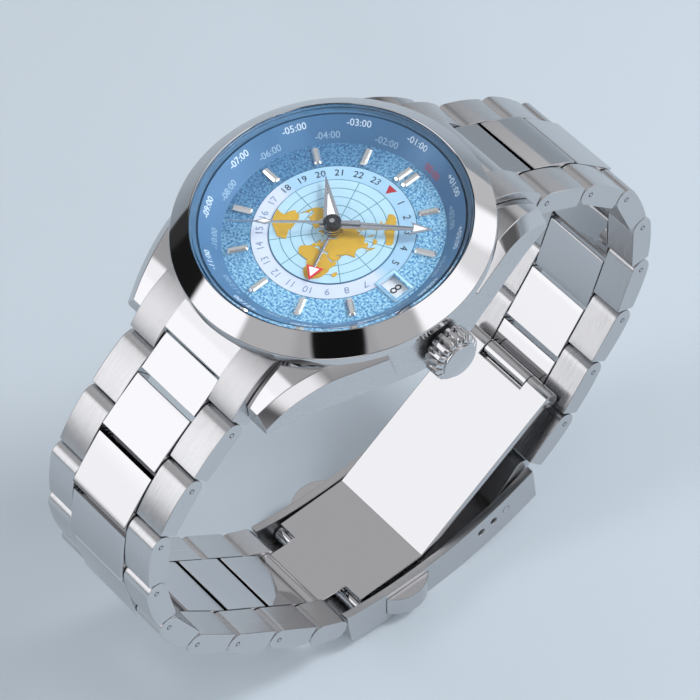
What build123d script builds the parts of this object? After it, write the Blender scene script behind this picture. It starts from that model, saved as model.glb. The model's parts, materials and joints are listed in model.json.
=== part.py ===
from build123d import *
import math
import os

# World time watch on a folding steel bracelet, dial up, closed in a loop.
# Lengths are millimetres and angles degrees. +X points out through the crown, +Y to twelve
# o'clock and +Z out of the dial. The origin is the middle of the case back's outer face.

# Watch head
bezel_diameter = 40.0
bezel_foot = 1.25
bezel_slope_rise = 2.15
bezel_slope_width = 2.65
bezel_overhang = 0.3
crystal_diameter = 34.6
crystal_thickness = 1.55
crystal_rise = 0.1
crystal_ledge = 0.8
case_wall_height = 6.2
case_back_depth = 1.8
case_back_diameter = 34.5
case_back_spigot = 0.8
key_notches = 6
key_notch_width = 2.6
key_notch_depth = 1.0
dial_thickness = 0.4
dial_depth = 0.6
chapter_rim = 0.25
dial_opening_diameter = 27.5
seat_clearance = 0.02
running_clearance = 0.05
free_gap = 0.15
overrun = 1.0

# Flats that stand for a circle on small pieces that repeat and on those sealed inside
movement_sides = 24
hub_sides = 12
bore_sides = 8
link_end_flats = 6

# Lugs, the ends of the case that hold the bracelet
lug_spacing = 20.0
lug_length = 3.9
lug_tip_width = 3.3
lug_flare = 7.0
lug_tip_top = 3.6
lug_tip_bottom = 1.1
lug_shoulder = 13.5
lug_top_bow = 0.9
waist_wall = 2.1
lug_bar_inset = 2.2
lug_bar_height = 3.7
spring_bar_diameter = 1.5

# Crown
crown_diameter = 6.6
crown_length = 3.1
crown_drop = 3.0
crown_ridges = 18
crown_ridge_share = 0.3
crown_valley_share = 0.25
crown_ridge_depth = 0.42
crown_cap_diameter = 5.4
crown_cap_height = 0.35
crown_standoff = 0.5
crown_recess_diameter = 4.0
crown_recess_depth = 1.8
crown_tube_diameter = 2.6
crown_tube_proud = 1.4
stem_diameter = 1.0
stem_length = 9.9
crown_gasket_thickness = 0.5

# Movement, sealed inside
movement_top = 6.4
battery_diameter = 9.5
battery_height = 2.0
battery_reach = 6.2
clip_width = 2.6
clip_thickness = 0.2
coil_length = 8.0
coil_diameter = 2.0
coil_reach = 9.5
circuit_length = 9.0
circuit_width = 13.0
circuit_reach = 6.5
circuit_thickness = 0.3
wheel_diameter = 4.4
wheel_thickness = 0.1
date_ring_outer_diameter = 26.4
date_ring_width = 3.4
date_ring_thickness = 0.25
days = 31

# Dial furniture
baton_length = 2.6
baton_width = 0.85
baton_height = 0.5
baton_ridge = 0.2
baton_point = 0.3
twelve_spread = 1.3
index_diameter = 23.7
date_reach = 11.45
date_window_length = 3.0
date_window_width = 2.2
date_frame = 0.22
date_frame_height = 0.12
map_diameter = 15.9
map_thickness = 0.12

# Hands, stacked from the dial upwards on tubes one inside the next
shaft_diameter = 0.5
tube_wall = 0.2
hand_gap = 0.22
hand_thickness = 0.2
hand_lift = 0.4
hour_hand_length = 7.7
hour_hand_width = 2.1
hour_hand_tip = 0.5
minute_hand_length = 12.3
minute_hand_width = 1.3
minute_neck_width = 0.6
minute_arrow_width = 1.9
minute_arrow_length = 2.6
seconds_hand_length = 13.0
seconds_hand_width = 0.24
seconds_lozenge_width = 0.8
seconds_lozenge_reach = 8.3
seconds_lozenge_length = 2.2
seconds_tail_length = 3.4
seconds_tail_width = 0.7
gmt_hand_length = 8.1
gmt_hand_width = 0.5
gmt_arrow_width = 2.1
gmt_arrow_length = 2.0
hand_hub_diameter = 2.6
boss_diameter = 2.2
boss_height = 0.3
minutes_shown = 8.0
hours_shown = 10.13
seconds_shown = 37.5
gmt_hours_shown = 10.1

# Bracelet
bracelet_width = 20.0
centre_link_width = 10.4
centre_rise = 0.08
link_thickness = 3.2
link_pitch = 8.5
last_link_pitch = 3.5
link_gap = 0.15
centre_overhang = 1.1
centre_groove = 0.7
link_chamfer = 0.7
side_gap = 0.08
pin_diameter = 1.2
neck_length = 4.5
end_link_top = 7.8
end_link_bow_inset = 0.9
end_link_bow_height = 5.75
end_link_heel_reach = 17.8
end_link_heel_height = 2.0
end_link_centre_reach = 22.7
end_link_gap = 0.1
first_pivot_reach = 25.3
first_pivot_height = 0.2
bends_six = [12.0, 29.0, 18.0, 19.0, 19.0, 4.0, 0.0, 9.0]
droop_twelve = 33.0
bends_twelve = [14.0, 26.0, 21.0, 21.0, 15.0, 0.0, 12.0]

# Clasp, in its own plane: along the cover from its middle, and inwards from the cover's ends
cover_length = 32.8
cover_wall_height = 5.6
cover_wall = 1.2
cover_arc_radius = 50.0
cover_end_pivot_inset = 0.8
adjust_inset = 5.2
adjust_spacing = 2.25
adjust_holes = 3
hole_drop = 2.2
fold_hinge_inset = 3.55
fold_hinge_drop = 2.6
far_hinge_overhang = 5.6
far_hinge_rise = 9.1
end_pivot_drop = 1.0
blade_kink_offset = 2.0
blade_kink_drop = 3.4
blade_end_inset = 0.8
blade_thickness = 1.0
blade_width = 16.6
middle_blade_width = 11.0
blade_gap = 0.3
knuckle_diameter = 2.2
hinge_pin_diameter = 1.2
centre_knuckle_width = 8.0
connector_diameter = 2.8
clasp_bar_diameter = 1.0
adjust_hole_sides = 12
wall_gap = 0.2

# Push buttons in the cover's walls
pusher_length = 7.2
pusher_height = 3.2
pusher_bulge = 1.8
pusher_offset = 6.5
pusher_drop = 0.8
pusher_margin = 0.8
pusher_travel = 0.8
pusher_flange_depth = 2.1
spring_diameter = 1.1
spring_drop = 3.4
spring_block_width = 6.0
spring_block_length = 3.0
spring_block_drop = 2.5

pieces = {}


def keep(name, piece):
    """Labels a finished piece and puts it in the list that is written out at the end."""
    piece.part.label = name
    pieces[name] = piece.part


def along(point, angle, distance):
    """The point at a distance and an angle from another, in the plane of the bracelet's side."""
    turn = math.radians(angle)
    return (point[0] + distance * math.cos(turn), point[1] + distance * math.sin(turn))


# Heights through the head, from the case back upwards
bezel_radius = bezel_diameter / 2
case_radius = bezel_radius - bezel_overhang
crystal_radius = crystal_diameter / 2
case_bottom = case_back_depth
case_top = case_bottom + case_wall_height
dial_seat = case_top - dial_depth - dial_thickness
dial_top = dial_seat + dial_thickness
bezel_shoulder = case_top + bezel_foot
bezel_top = bezel_shoulder + bezel_slope_rise
crystal_top = bezel_top + crystal_rise
crystal_bottom = crystal_top - crystal_thickness
stem_height = dial_top - crown_drop
bore_radius = crystal_radius - crystal_ledge
waist_radius = bore_radius + waist_wall
lug_reach = waist_radius + lug_length
lug_bar_reach = lug_reach - lug_bar_inset
spigot_top = case_bottom + case_back_spigot
back_radius = case_back_diameter / 2
tube_end = case_radius + crown_tube_proud

# Case middle: the plan with its four lugs, cut to the side view and bored for what it holds,
# with the spring bars across its lugs
with BuildPart() as case_middle:
    with BuildSketch(Plane.XY.offset(lug_tip_bottom)) as case_plan:
        Circle(case_radius)
        tip_x = lug_spacing / 2 + lug_tip_width
        flare_x = math.sqrt(case_radius ** 2 - lug_flare ** 2)
        with BuildLine():
            Polyline((tip_x, lug_reach), (flare_x, lug_flare), (flare_x, -lug_flare), (tip_x, -lug_reach),
                     (-tip_x, -lug_reach), (-flare_x, -lug_flare), (-flare_x, lug_flare), (-tip_x, lug_reach),
                     close=True)
        make_face()
        with BuildSketch(mode=Mode.PRIVATE) as lug_gaps:
            Rectangle(lug_spacing, 2 * lug_reach + overrun)
            Circle(waist_radius, mode=Mode.SUBTRACT)
        add(lug_gaps.sketch, mode=Mode.SUBTRACT)
    extrude(amount=case_top - lug_tip_bottom)
    with BuildSketch(Plane.YZ) as case_side:
        with BuildLine():
            bow_y = (lug_shoulder + lug_reach) / 2
            bow_z = (case_top + lug_tip_top) / 2 + lug_top_bow
            top = Line((0, case_top), (lug_shoulder, case_top))
            bow = ThreePointArc(top @ 1, (bow_y, bow_z), (lug_reach, lug_tip_top))
            tip = Line(bow @ 1, (lug_reach, lug_tip_bottom))
            Polyline(tip @ 1, (back_radius + free_gap, case_bottom), (0, case_bottom), (0, case_top))
        make_face()
        mirror(about=Plane.YZ)
    extrude(amount=case_radius + overrun, both=True, mode=Mode.INTERSECT)
    with BuildSketch(Plane.XY.offset(case_bottom)):
        Circle(bore_radius)
    extrude(amount=case_wall_height, mode=Mode.SUBTRACT)
    with BuildSketch(Plane.YZ) as spring_bars:
        with Locations((lug_bar_reach, lug_bar_height), (-lug_bar_reach, lug_bar_height)):
            Circle(spring_bar_diameter / 2)
    extrude(amount=lug_spacing / 2, both=True)
    with BuildSketch(Plane.YZ.offset(bore_radius - overrun)) as tube_hole:
        with Locations((0, stem_height)):
            Circle(crown_tube_diameter / 2)
    extrude(amount=tube_end, mode=Mode.SUBTRACT)
keep("case_middle", case_middle)

# Crown tube, pressed into the case wall, round the stem
with BuildPart() as crown_tube:
    with BuildSketch(Plane.YZ.offset(bore_radius + free_gap)):
        with Locations((0, stem_height)):
            Circle(crown_tube_diameter / 2)
            Circle(stem_diameter / 2 + running_clearance, mode=Mode.SUBTRACT)
    extrude(amount=tube_end - bore_radius - free_gap)
keep("crown_tube", crown_tube)

# Bezel: one turned ring with an upright foot and a sloped face
with BuildPart() as bezel:
    with BuildSketch(Plane.XZ):
        with BuildLine():
            Polyline((crystal_radius + seat_clearance, case_top),
                     (bezel_radius, case_top),
                     (bezel_radius, bezel_shoulder),
                     (bezel_radius - bezel_slope_width, bezel_top),
                     (crystal_radius + seat_clearance, bezel_top), close=True)
        make_face()
    revolve(axis=Axis.Z)
keep("bezel", bezel)

with BuildPart() as crystal:
    with BuildSketch(Plane.XY.offset(crystal_bottom)):
        Circle(crystal_radius)
    extrude(amount=crystal_thickness)
keep("crystal", crystal)

# Chapter ring: the blue slope between the dial and the crystal, whose rim the crystal rests on
with BuildPart() as chapter_ring:
    with BuildSketch(Plane.XZ):
        with BuildLine():
            Polyline((dial_opening_diameter / 2, dial_top),
                     (bore_radius - seat_clearance, dial_top),
                     (bore_radius - seat_clearance, crystal_bottom),
                     (bore_radius - chapter_rim, crystal_bottom), close=True)
        make_face()
    revolve(axis=Axis.Z)
keep("chapter_ring", chapter_ring)

# Tubes that carry the hands, from the seconds shaft outwards
tube_outer = [shaft_diameter / 2]
tube_inner = [0]
for level in range(3):
    tube_inner.append(tube_outer[-1] + running_clearance)
    tube_outer.append(tube_inner[-1] + tube_wall)
centre_hole = tube_outer[-1] + running_clearance

# Dial, with the window's frame and the raised middle that carries the map
with BuildPart() as dial:
    with BuildSketch(Plane.XY.offset(dial_seat)):
        Circle(bore_radius - seat_clearance)
        with Locations((date_reach, 0)):
            Rectangle(date_window_length, date_window_width, mode=Mode.SUBTRACT)
    extrude(amount=dial_thickness)
    with BuildSketch(Plane.XY.offset(dial_top)):
        with Locations((date_reach, 0)):
            Rectangle(date_window_length + 2 * date_frame, date_window_width + 2 * date_frame)
            Rectangle(date_window_length, date_window_width, mode=Mode.SUBTRACT)
    extrude(amount=date_frame_height)
    with BuildSketch(Plane.XY.offset(dial_top)):
        Circle(map_diameter / 2)
    extrude(amount=map_thickness)
    with BuildSketch(Plane.XY.offset(dial_seat)):
        Circle(centre_hole)
    extrude(amount=dial_thickness + map_thickness, mode=Mode.SUBTRACT)
keep("dial", dial)


def baton(reach, across, turn=0):
    """One ridged hour baton with a pointed inner end, standing on the dial."""
    half = baton_width / 2
    inner = reach - baton_length / 2
    with BuildPart(mode=Mode.PRIVATE) as bar:
        with BuildSketch(Plane.XY.offset(dial_top)):
            Polygon((across, inner), (across + half, inner + baton_point),
                    (across + half, reach + baton_length / 2), (across - half, reach + baton_length / 2),
                    (across - half, inner + baton_point), align=None)
        extrude(amount=baton_height)
        with BuildSketch(Plane.XZ.offset(-reach)):
            Polygon((across - half, dial_top), (across + half, dial_top),
                    (across + half, dial_top + baton_height - baton_ridge),
                    (across, dial_top + baton_height),
                    (across - half, dial_top + baton_height - baton_ridge), align=None)
        extrude(amount=baton_length, both=True, mode=Mode.INTERSECT)
    return bar.part.rotate(Axis.Z, turn)


# Hour markers: ten single batons and a pair at twelve; the date window takes the place of three
with BuildPart() as hour_markers:
    for hour in (1, 2, 4, 5, 6, 7, 8, 9, 10, 11):
        add(baton(index_diameter / 2, 0, -30 * hour))
    add(baton(index_diameter / 2, twelve_spread / 2))
    add(baton(index_diameter / 2, -twelve_spread / 2))
keep("hour_markers", hour_markers)

# Movement: a plate with wells for the battery and coil, and a rim that the dial lies on
date_radius = date_ring_outer_diameter / 2
rim_inside = (date_radius + free_gap) / math.cos(math.pi / movement_sides)
with BuildPart() as movement_plate:
    with BuildSketch(Plane.XY.offset(spigot_top)):
        RegularPolygon(bore_radius - free_gap, movement_sides)
    extrude(amount=dial_seat - spigot_top)
    with BuildSketch(Plane.XY.offset(movement_top)):
        RegularPolygon(rim_inside, movement_sides)
    extrude(amount=dial_seat - movement_top, mode=Mode.SUBTRACT)
    with BuildSketch(Plane.XY.offset(spigot_top)):
        with Locations((-battery_reach, 0)):
            Rectangle(battery_diameter + 2 * free_gap, battery_diameter + 2 * free_gap)
        with Locations((0, coil_reach)):
            Rectangle(coil_length + 2 * free_gap, coil_diameter + 2 * free_gap)
    extrude(amount=battery_height + free_gap, mode=Mode.SUBTRACT)
    with BuildSketch(Plane.XY.offset(spigot_top)):
        with Locations((circuit_reach, 0)):
            Rectangle(circuit_length, circuit_width)
    extrude(amount=circuit_thickness, mode=Mode.SUBTRACT)
    with BuildSketch(Plane.YZ.offset(bore_radius)):
        with Locations((0, stem_height)):
            RegularPolygon(stem_diameter / 2 + free_gap, bore_sides, major_radius=False)
    extrude(amount=-(bore_radius - battery_reach), mode=Mode.SUBTRACT)
    with BuildSketch(Plane.XY.offset(movement_top)):
        Circle(tube_inner[1] - running_clearance / 2)
    extrude(amount=-running_clearance, mode=Mode.SUBTRACT)
keep("movement_plate", movement_plate)

with BuildPart() as circuit_board:
    with BuildSketch(Plane.XY.offset(spigot_top)):
        with Locations((circuit_reach, 0)):
            Rectangle(circuit_length, circuit_width)
    extrude(amount=circuit_thickness)
keep("circuit_board", circuit_board)

with BuildPart() as battery:
    with BuildSketch(Plane.XY.offset(spigot_top + clip_thickness)):
        with Locations((-battery_reach, 0)):
            Circle(battery_diameter / 2)
    extrude(amount=battery_height - clip_thickness)
keep("battery", battery)

with BuildPart() as battery_clip:
    with BuildSketch(Plane.XY.offset(spigot_top)):
        with Locations((-battery_reach, 0)):
            Rectangle(battery_diameter, clip_width)
    extrude(amount=clip_thickness)
keep("battery_clip", battery_clip)

with BuildPart() as coil:
    with BuildSketch(Plane.YZ):
        with Locations((coil_reach, spigot_top + free_gap + coil_diameter / 2)):
            Circle(coil_diameter / 2)
    extrude(amount=coil_length / 2, both=True)
keep("coil", coil)

# Case back: a disc with a spigot in the case's bore and notches for the case key
with BuildPart() as case_back:
    with BuildSketch(Plane.XY):
        Circle(back_radius)
    extrude(amount=case_back_depth)
    with PolarLocations(back_radius, key_notches):
        Box(2 * key_notch_depth, key_notch_width, case_back_depth / 2,
            align=(Align.CENTER, Align.CENTER, Align.MIN), mode=Mode.SUBTRACT)
    with BuildSketch(Plane.XY.offset(case_back_depth)):
        RegularPolygon(bore_radius - seat_clearance, movement_sides)
    extrude(amount=case_back_spigot)
keep("case_back", case_back)

# Crown, its gasket on the case's tube and the stem into the movement
crown_base = case_radius + crown_standoff
crown_face = crown_base + crown_length
crown_radius = crown_diameter / 2
crown_points = []
for ridge in range(crown_ridges):
    step = 360 / crown_ridges
    valley_radius = crown_radius - crown_ridge_depth
    for radius, share in ((crown_radius, -crown_ridge_share / 2), (crown_radius, crown_ridge_share / 2),
                          (valley_radius, 1 / 2 - crown_valley_share / 2),
                          (valley_radius, 1 / 2 + crown_valley_share / 2)):
        crown_points.append(along((0, stem_height), (ridge + share) * step, radius))

with BuildPart() as crown:
    with BuildSketch(Plane.YZ.offset(crown_base)):
        Polygon(*crown_points, align=None)
    extrude(amount=crown_length - crown_cap_height)
    with BuildSketch(Plane.YZ.offset(crown_face - crown_cap_height)):
        with Locations((0, stem_height)):
            Circle(crown_cap_diameter / 2)
    extrude(amount=crown_cap_height)
    with BuildSketch(Plane.YZ.offset(crown_base)):
        with Locations((0, stem_height)):
            Circle(crown_recess_diameter / 2)
    extrude(amount=crown_recess_depth, mode=Mode.SUBTRACT)
keep("crown", crown)

with BuildPart() as winding_stem:
    with BuildSketch(Plane.YZ.offset(crown_base + crown_recess_depth - stem_length)):
        with Locations((0, stem_height)):
            Circle(stem_diameter / 2)
    extrude(amount=stem_length)
keep("winding_stem", winding_stem)

with BuildPart() as crown_gasket:
    with BuildSketch(Plane.YZ.offset(crown_base)):
        with Locations((0, stem_height)):
            Circle(crown_recess_diameter / 2 - running_clearance)
            Circle(crown_tube_diameter / 2 + running_clearance, mode=Mode.SUBTRACT)
    extrude(amount=crown_gasket_thickness)
keep("crown_gasket", crown_gasket)

# Heights of the hands, the lowest first, and of the wheels under the dial
gmt_height = dial_top + map_thickness + hand_lift
hour_height = gmt_height + hand_thickness + hand_gap
minute_height = hour_height + hand_thickness + hand_gap
second_height = minute_height + hand_thickness + hand_gap
wheel_gap = (dial_seat - movement_top - 3 * wheel_thickness) / 4


def hand_plane(height, turn):
    """A sketch plane at a height whose Y axis points where the hand points."""
    angle = math.radians(turn)
    return Plane(origin=(0, 0, height), x_dir=(math.cos(angle), -math.sin(angle), 0), z_dir=(0, 0, 1))


minute_turn = 360 * minutes_shown / 60
hour_turn = 360 * hours_shown / 12
gmt_turn = 360 * gmt_hours_shown / 24
second_turn = 360 * seconds_shown / 60

with BuildPart() as gmt_hand:
    with BuildSketch(hand_plane(gmt_height, gmt_turn)):
        RegularPolygon(hand_hub_diameter / 2, hub_sides)
        with Locations((0, gmt_hand_length / 2 - gmt_arrow_length / 2)):
            Rectangle(gmt_hand_width, gmt_hand_length - gmt_arrow_length)
        with BuildLine():
            Polyline((-gmt_arrow_width / 2, gmt_hand_length - gmt_arrow_length),
                     (gmt_arrow_width / 2, gmt_hand_length - gmt_arrow_length),
                     (0, gmt_hand_length), close=True)
        make_face()
        Circle(tube_outer[3], mode=Mode.SUBTRACT)
    extrude(amount=hand_thickness)
keep("gmt_hand", gmt_hand)

with BuildPart() as hour_hand:
    with BuildSketch(hand_plane(hour_height, hour_turn)):
        RegularPolygon(hand_hub_diameter / 2, hub_sides)
        with BuildLine():
            Polyline((-hour_hand_width / 2, 0), (hour_hand_width / 2, 0),
                     (hour_hand_tip / 2, hour_hand_length), (-hour_hand_tip / 2, hour_hand_length),
                     close=True)
        make_face()
        Circle(tube_outer[2], mode=Mode.SUBTRACT)
    extrude(amount=hand_thickness)
keep("hour_hand", hour_hand)

with BuildPart() as minute_hand:
    with BuildSketch(hand_plane(minute_height, minute_turn)):
        RegularPolygon(hand_hub_diameter / 2, hub_sides)
        neck_end = minute_hand_length - minute_arrow_length
        with BuildLine():
            Polyline((-minute_hand_width / 2, 0), (minute_hand_width / 2, 0),
                     (minute_neck_width / 2, neck_end), (-minute_neck_width / 2, neck_end), close=True)
        make_face()
        with BuildLine():
            Polyline((-minute_arrow_width / 2, neck_end), (minute_arrow_width / 2, neck_end),
                     (0, minute_hand_length), close=True)
        make_face()
        Circle(tube_outer[1], mode=Mode.SUBTRACT)
    extrude(amount=hand_thickness)
keep("minute_hand", minute_hand)

with BuildPart() as second_hand:
    with BuildSketch(hand_plane(second_height, second_turn)):
        with BuildLine():
            Polyline((-seconds_hand_width / 2, 0), (seconds_hand_width / 2, 0),
                     (0, seconds_hand_length), close=True)
        make_face()
        with BuildLine():
            Polyline((0, seconds_lozenge_reach - seconds_lozenge_length / 2),
                     (seconds_lozenge_width / 2, seconds_lozenge_reach),
                     (0, seconds_lozenge_reach + seconds_lozenge_length / 2),
                     (-seconds_lozenge_width / 2, seconds_lozenge_reach), close=True)
        make_face()
        with Locations((0, -seconds_tail_length / 2)):
            Rectangle(seconds_tail_width, seconds_tail_length)
    extrude(amount=hand_thickness)
    with BuildSketch(Plane.XY.offset(second_height)):
        Circle(boss_diameter / 2)
    extrude(amount=hand_thickness + boss_height)
    with BuildSketch(Plane.XY.offset(second_height)):
        Circle(shaft_diameter / 2)
    extrude(amount=movement_top - second_height)
keep("second_hand", second_hand)


def hand_wheel(name, level, wheel_height, tube_top):
    """A wheel under the dial with the tube that carries one hand."""
    with BuildPart() as wheel:
        with BuildSketch(Plane.XY.offset(wheel_height)):
            RegularPolygon(wheel_diameter / 2, movement_sides)
            Circle(tube_inner[level], mode=Mode.SUBTRACT)
        extrude(amount=wheel_thickness)
        with BuildSketch(Plane.XY.offset(wheel_height)):
            Circle(tube_outer[level])
            Circle(tube_inner[level], mode=Mode.SUBTRACT)
        extrude(amount=tube_top - wheel_height)
    keep(name, wheel)


hand_wheel("cannon_pinion", 1, movement_top + wheel_gap, minute_height + hand_thickness)
hand_wheel("hour_wheel", 2, movement_top + 2 * wheel_gap + wheel_thickness, hour_height + hand_thickness)
hand_wheel("gmt_wheel", 3, movement_top + 3 * wheel_gap + 2 * wheel_thickness, gmt_height + hand_thickness)

# Date ring, with a flat for each day
with BuildPart() as date_ring:
    with BuildSketch(Plane.XY.offset(movement_top + free_gap)):
        RegularPolygon(date_radius, days)
        RegularPolygon(date_radius - date_ring_width, days, mode=Mode.SUBTRACT)
    extrude(amount=date_ring_thickness)
keep("date_ring", date_ring)

# The loop: each side is a chain of pivots, laid out in the side view as (y, z) with its angles
half_thickness = link_thickness / 2
outer_link_end = half_thickness + link_gap


def lay_chain(side, droop, bends, last_pitch):
    """Pivots and directions of one side's links, from the head down. side is 1 for twelve o'clock."""
    pivots = [(side * first_pivot_reach, first_pivot_height)]
    down = droop
    angles = []
    for number in range(len(bends) + 1):
        angles.append(-down if side > 0 else down - 180)
        pitch = last_pitch if number == len(bends) else link_pitch
        pivots.append(along(pivots[-1], angles[-1], pitch))
        if number < len(bends):
            down += bends[number]
    return pivots, angles


# The clasp's own pivots, before it is placed
half_cover = cover_length / 2
arc_centre_rise = math.sqrt(cover_arc_radius ** 2 - half_cover ** 2)


def cover_arc(offset, drop):
    """Height of the cover's arc at an offset from its middle, a drop outside the wall's edge."""
    return arc_centre_rise - math.sqrt((cover_arc_radius + drop) ** 2 - offset ** 2)


connector_pivot = (half_cover - cover_end_pivot_inset, 0)
end_pivot = (-half_cover - outer_link_end, -end_pivot_drop)
fold_hinge = (fold_hinge_inset - half_cover, cover_arc(fold_hinge_inset - half_cover, fold_hinge_drop))
far_hinge = (half_cover + far_hinge_overhang, far_hinge_rise)
adjust_points = [(half_cover - adjust_inset - number * adjust_spacing,
                  cover_arc(half_cover - adjust_inset - number * adjust_spacing, hole_drop))
                 for number in range(adjust_holes)]
clasp_span = math.dist(connector_pivot, end_pivot)

# Both chains hang from the head, and the six o'clock chain swings until its end meets the clasp
pivots_twelve, angles_twelve = lay_chain(1, droop_twelve, bends_twelve, link_pitch)
pivots_six, angles_six = lay_chain(-1, 0, bends_six, last_link_pitch)
six_start, six_end, twelve_end = pivots_six[0], pivots_six[-1], pivots_twelve[-1]
chain_span = math.dist(six_start, six_end)
gap_span = math.dist(six_start, twelve_end)
gap_angle = math.degrees(math.atan2(twelve_end[1] - six_start[1], twelve_end[0] - six_start[0]))
chain_angle = math.degrees(math.atan2(six_end[1] - six_start[1], six_end[0] - six_start[0]))
closing = (chain_span ** 2 + gap_span ** 2 - clasp_span ** 2) / (2 * chain_span * gap_span)
swing = gap_angle - math.degrees(math.acos(closing)) - chain_angle
pivots_six, angles_six = lay_chain(-1, swing, bends_six, last_link_pitch)
six_end = pivots_six[-1]
clasp_turn = math.degrees(
    math.atan2(twelve_end[1] - six_end[1], twelve_end[0] - six_end[0])
    - math.atan2(connector_pivot[1] - end_pivot[1], connector_pivot[0] - end_pivot[0]))
print("swing", round(swing, 3), "clasp_turn", round(clasp_turn, 4))
clasp_middle = along(along(twelve_end, clasp_turn, -connector_pivot[0]), clasp_turn + 90,
                     -connector_pivot[1])


def place(point):
    """A point of the clasp's own plane in the side view of the whole watch."""
    return along(along(clasp_middle, clasp_turn, point[0]), clasp_turn + 90, point[1])


def side_plane(origin, angle, side=1, across=0):
    """A sketch plane square to X whose X axis runs down the chain and whose Y axis points outwards."""
    turn = math.radians(angle)
    return Plane(origin=(across, origin[0], origin[1]), x_dir=(0, math.cos(turn), math.sin(turn)),
                 z_dir=(side, 0, 0))


def rounded_end(reach, first_angle):
    """Points of a half circle of flats as wide as a link is thick, about a place on the chain."""
    return [along((reach, 0), first_angle + flat * 180 / link_end_flats, half_thickness)
            for flat in range(link_end_flats + 1)]


def bar(plane, reach, diameter, length):
    """A round pin across the bracelet, centred on its middle."""
    with BuildPart(mode=Mode.PRIVATE) as rod:
        with BuildSketch(plane):
            with Locations((reach, 0)):
                Circle(diameter / 2)
        extrude(amount=length / 2, both=True)
    return rod.part


outer_inside = centre_link_width / 2
tongue_half = outer_inside - side_gap
pin_hole = pin_diameter + 2 * running_clearance
outer_width = bracelet_width / 2 - outer_inside
centre_start = centre_overhang + centre_groove


def make_link(name, origin, angle, side):
    """One full link: two outers, their pivot pin, and a centre whose tongue the next pin runs in."""
    plane = side_plane(origin, angle, side)
    outer_end = link_pitch - outer_link_end
    tongue_end = link_pitch + centre_overhang
    top = half_thickness + centre_rise
    with BuildPart() as link:
        with BuildSketch(plane.offset(outer_inside), plane.offset(-outer_inside - outer_width)):
            Polygon(*rounded_end(0, 90), (outer_end, -half_thickness), (outer_end, half_thickness),
                    align=None)
        extrude(amount=outer_width)
        with BuildSketch(plane):
            Polygon((centre_start, top), (centre_start, link_chamfer - half_thickness),
                    (centre_start + link_chamfer, -half_thickness), (outer_end, -half_thickness),
                    (outer_end, top), align=None)
        extrude(amount=outer_inside, both=True)
        with BuildSketch(plane):
            Polygon((outer_end, top), (outer_end, -half_thickness), (tongue_end - link_chamfer, -half_thickness),
                    (tongue_end, link_chamfer - half_thickness), (tongue_end, top), align=None)
            with Locations((link_pitch, 0)):
                RegularPolygon(pin_hole / 2, bore_sides, major_radius=False, mode=Mode.SUBTRACT)
        extrude(amount=tongue_half, both=True)
        add(bar(plane, 0, pin_diameter, centre_link_width))
    keep(name, link)


for number, angle in enumerate(angles_twelve):
    make_link(f"link_12_{number + 1}", pivots_twelve[number], angle, 1)
for number, angle in enumerate(angles_six[:-1]):
    make_link(f"link_6_{number + 1}", pivots_six[number], angle, -1)

# The short last link: two outers only, whose far pin carries the clasp's blade
last_plane = side_plane(pivots_six[-2], angles_six[-1], -1)
with BuildPart() as link_6_9:
    with BuildSketch(last_plane.offset(outer_inside), last_plane.offset(-outer_inside - outer_width)):
        Polygon(*rounded_end(0, 90), *rounded_end(last_link_pitch, -90), align=None)
    extrude(amount=outer_width)
    add(bar(last_plane, 0, pin_diameter, centre_link_width))
    add(bar(last_plane, last_link_pitch, pin_diameter, centre_link_width))
keep("link_6_9", link_6_9)


def make_end_link(name, side, droop):
    """The fixed link between two lugs, with a horn each side and a neck that carries link one."""
    plane = Plane(origin=(0, 0, 0), x_dir=(0, side, 0), z_dir=(side, 0, 0))
    pivot = (first_pivot_reach, first_pivot_height)
    flat = along(pivot, -droop, -outer_link_end)
    horn_tip = along(flat, 90 - droop, half_thickness)
    horn_foot = along(flat, -90 - droop, half_thickness)
    neck = along(pivot, -droop, -neck_length)
    neck_end = along(pivot, -droop, centre_overhang)
    seat_radius = waist_radius + end_link_gap
    with BuildPart() as end_link:
        with BuildSketch(plane):
            with BuildLine():
                top = Line((0, end_link_top), (end_link_heel_reach, end_link_top))
                bow_reach = lug_reach - end_link_bow_inset
                bow = ThreePointArc(top @ 1, (bow_reach, end_link_bow_height), horn_tip)
                Polyline(bow @ 1, horn_foot, (end_link_heel_reach, end_link_heel_height),
                         (0, end_link_heel_height), (0, end_link_top))
            make_face()
        extrude(amount=bracelet_width / 2 - end_link_gap, both=True)
        with BuildSketch(plane):
            with Locations((end_link_centre_reach, first_pivot_height)):
                Rectangle(first_pivot_reach, 2 * case_top, align=(Align.MIN, Align.CENTER))
        extrude(amount=outer_inside, both=True, mode=Mode.SUBTRACT)
        with BuildSketch(plane):
            Polygon(along(neck, 90 - droop, half_thickness), along(neck, -90 - droop, half_thickness),
                    along(along(neck_end, -droop, -link_chamfer), -90 - droop, half_thickness),
                    along(neck_end, -90 - droop, half_thickness - link_chamfer),
                    along(neck_end, 90 - droop, half_thickness), align=None)
        extrude(amount=tongue_half, both=True)
        Cylinder(seat_radius, 4 * case_top, mode=Mode.SUBTRACT)
        with BuildSketch(plane):
            with Locations(pivot):
                RegularPolygon(pin_hole / 2, bore_sides, major_radius=False)
            with Locations((lug_bar_reach, lug_bar_height)):
                Circle(spring_bar_diameter / 2 + running_clearance)
        extrude(amount=bracelet_width / 2, both=True, mode=Mode.SUBTRACT)
    keep(name, end_link)


make_end_link("end_link_12", 1, -angles_twelve[0])
make_end_link("end_link_6", -1, angles_six[0] + 180)

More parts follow.
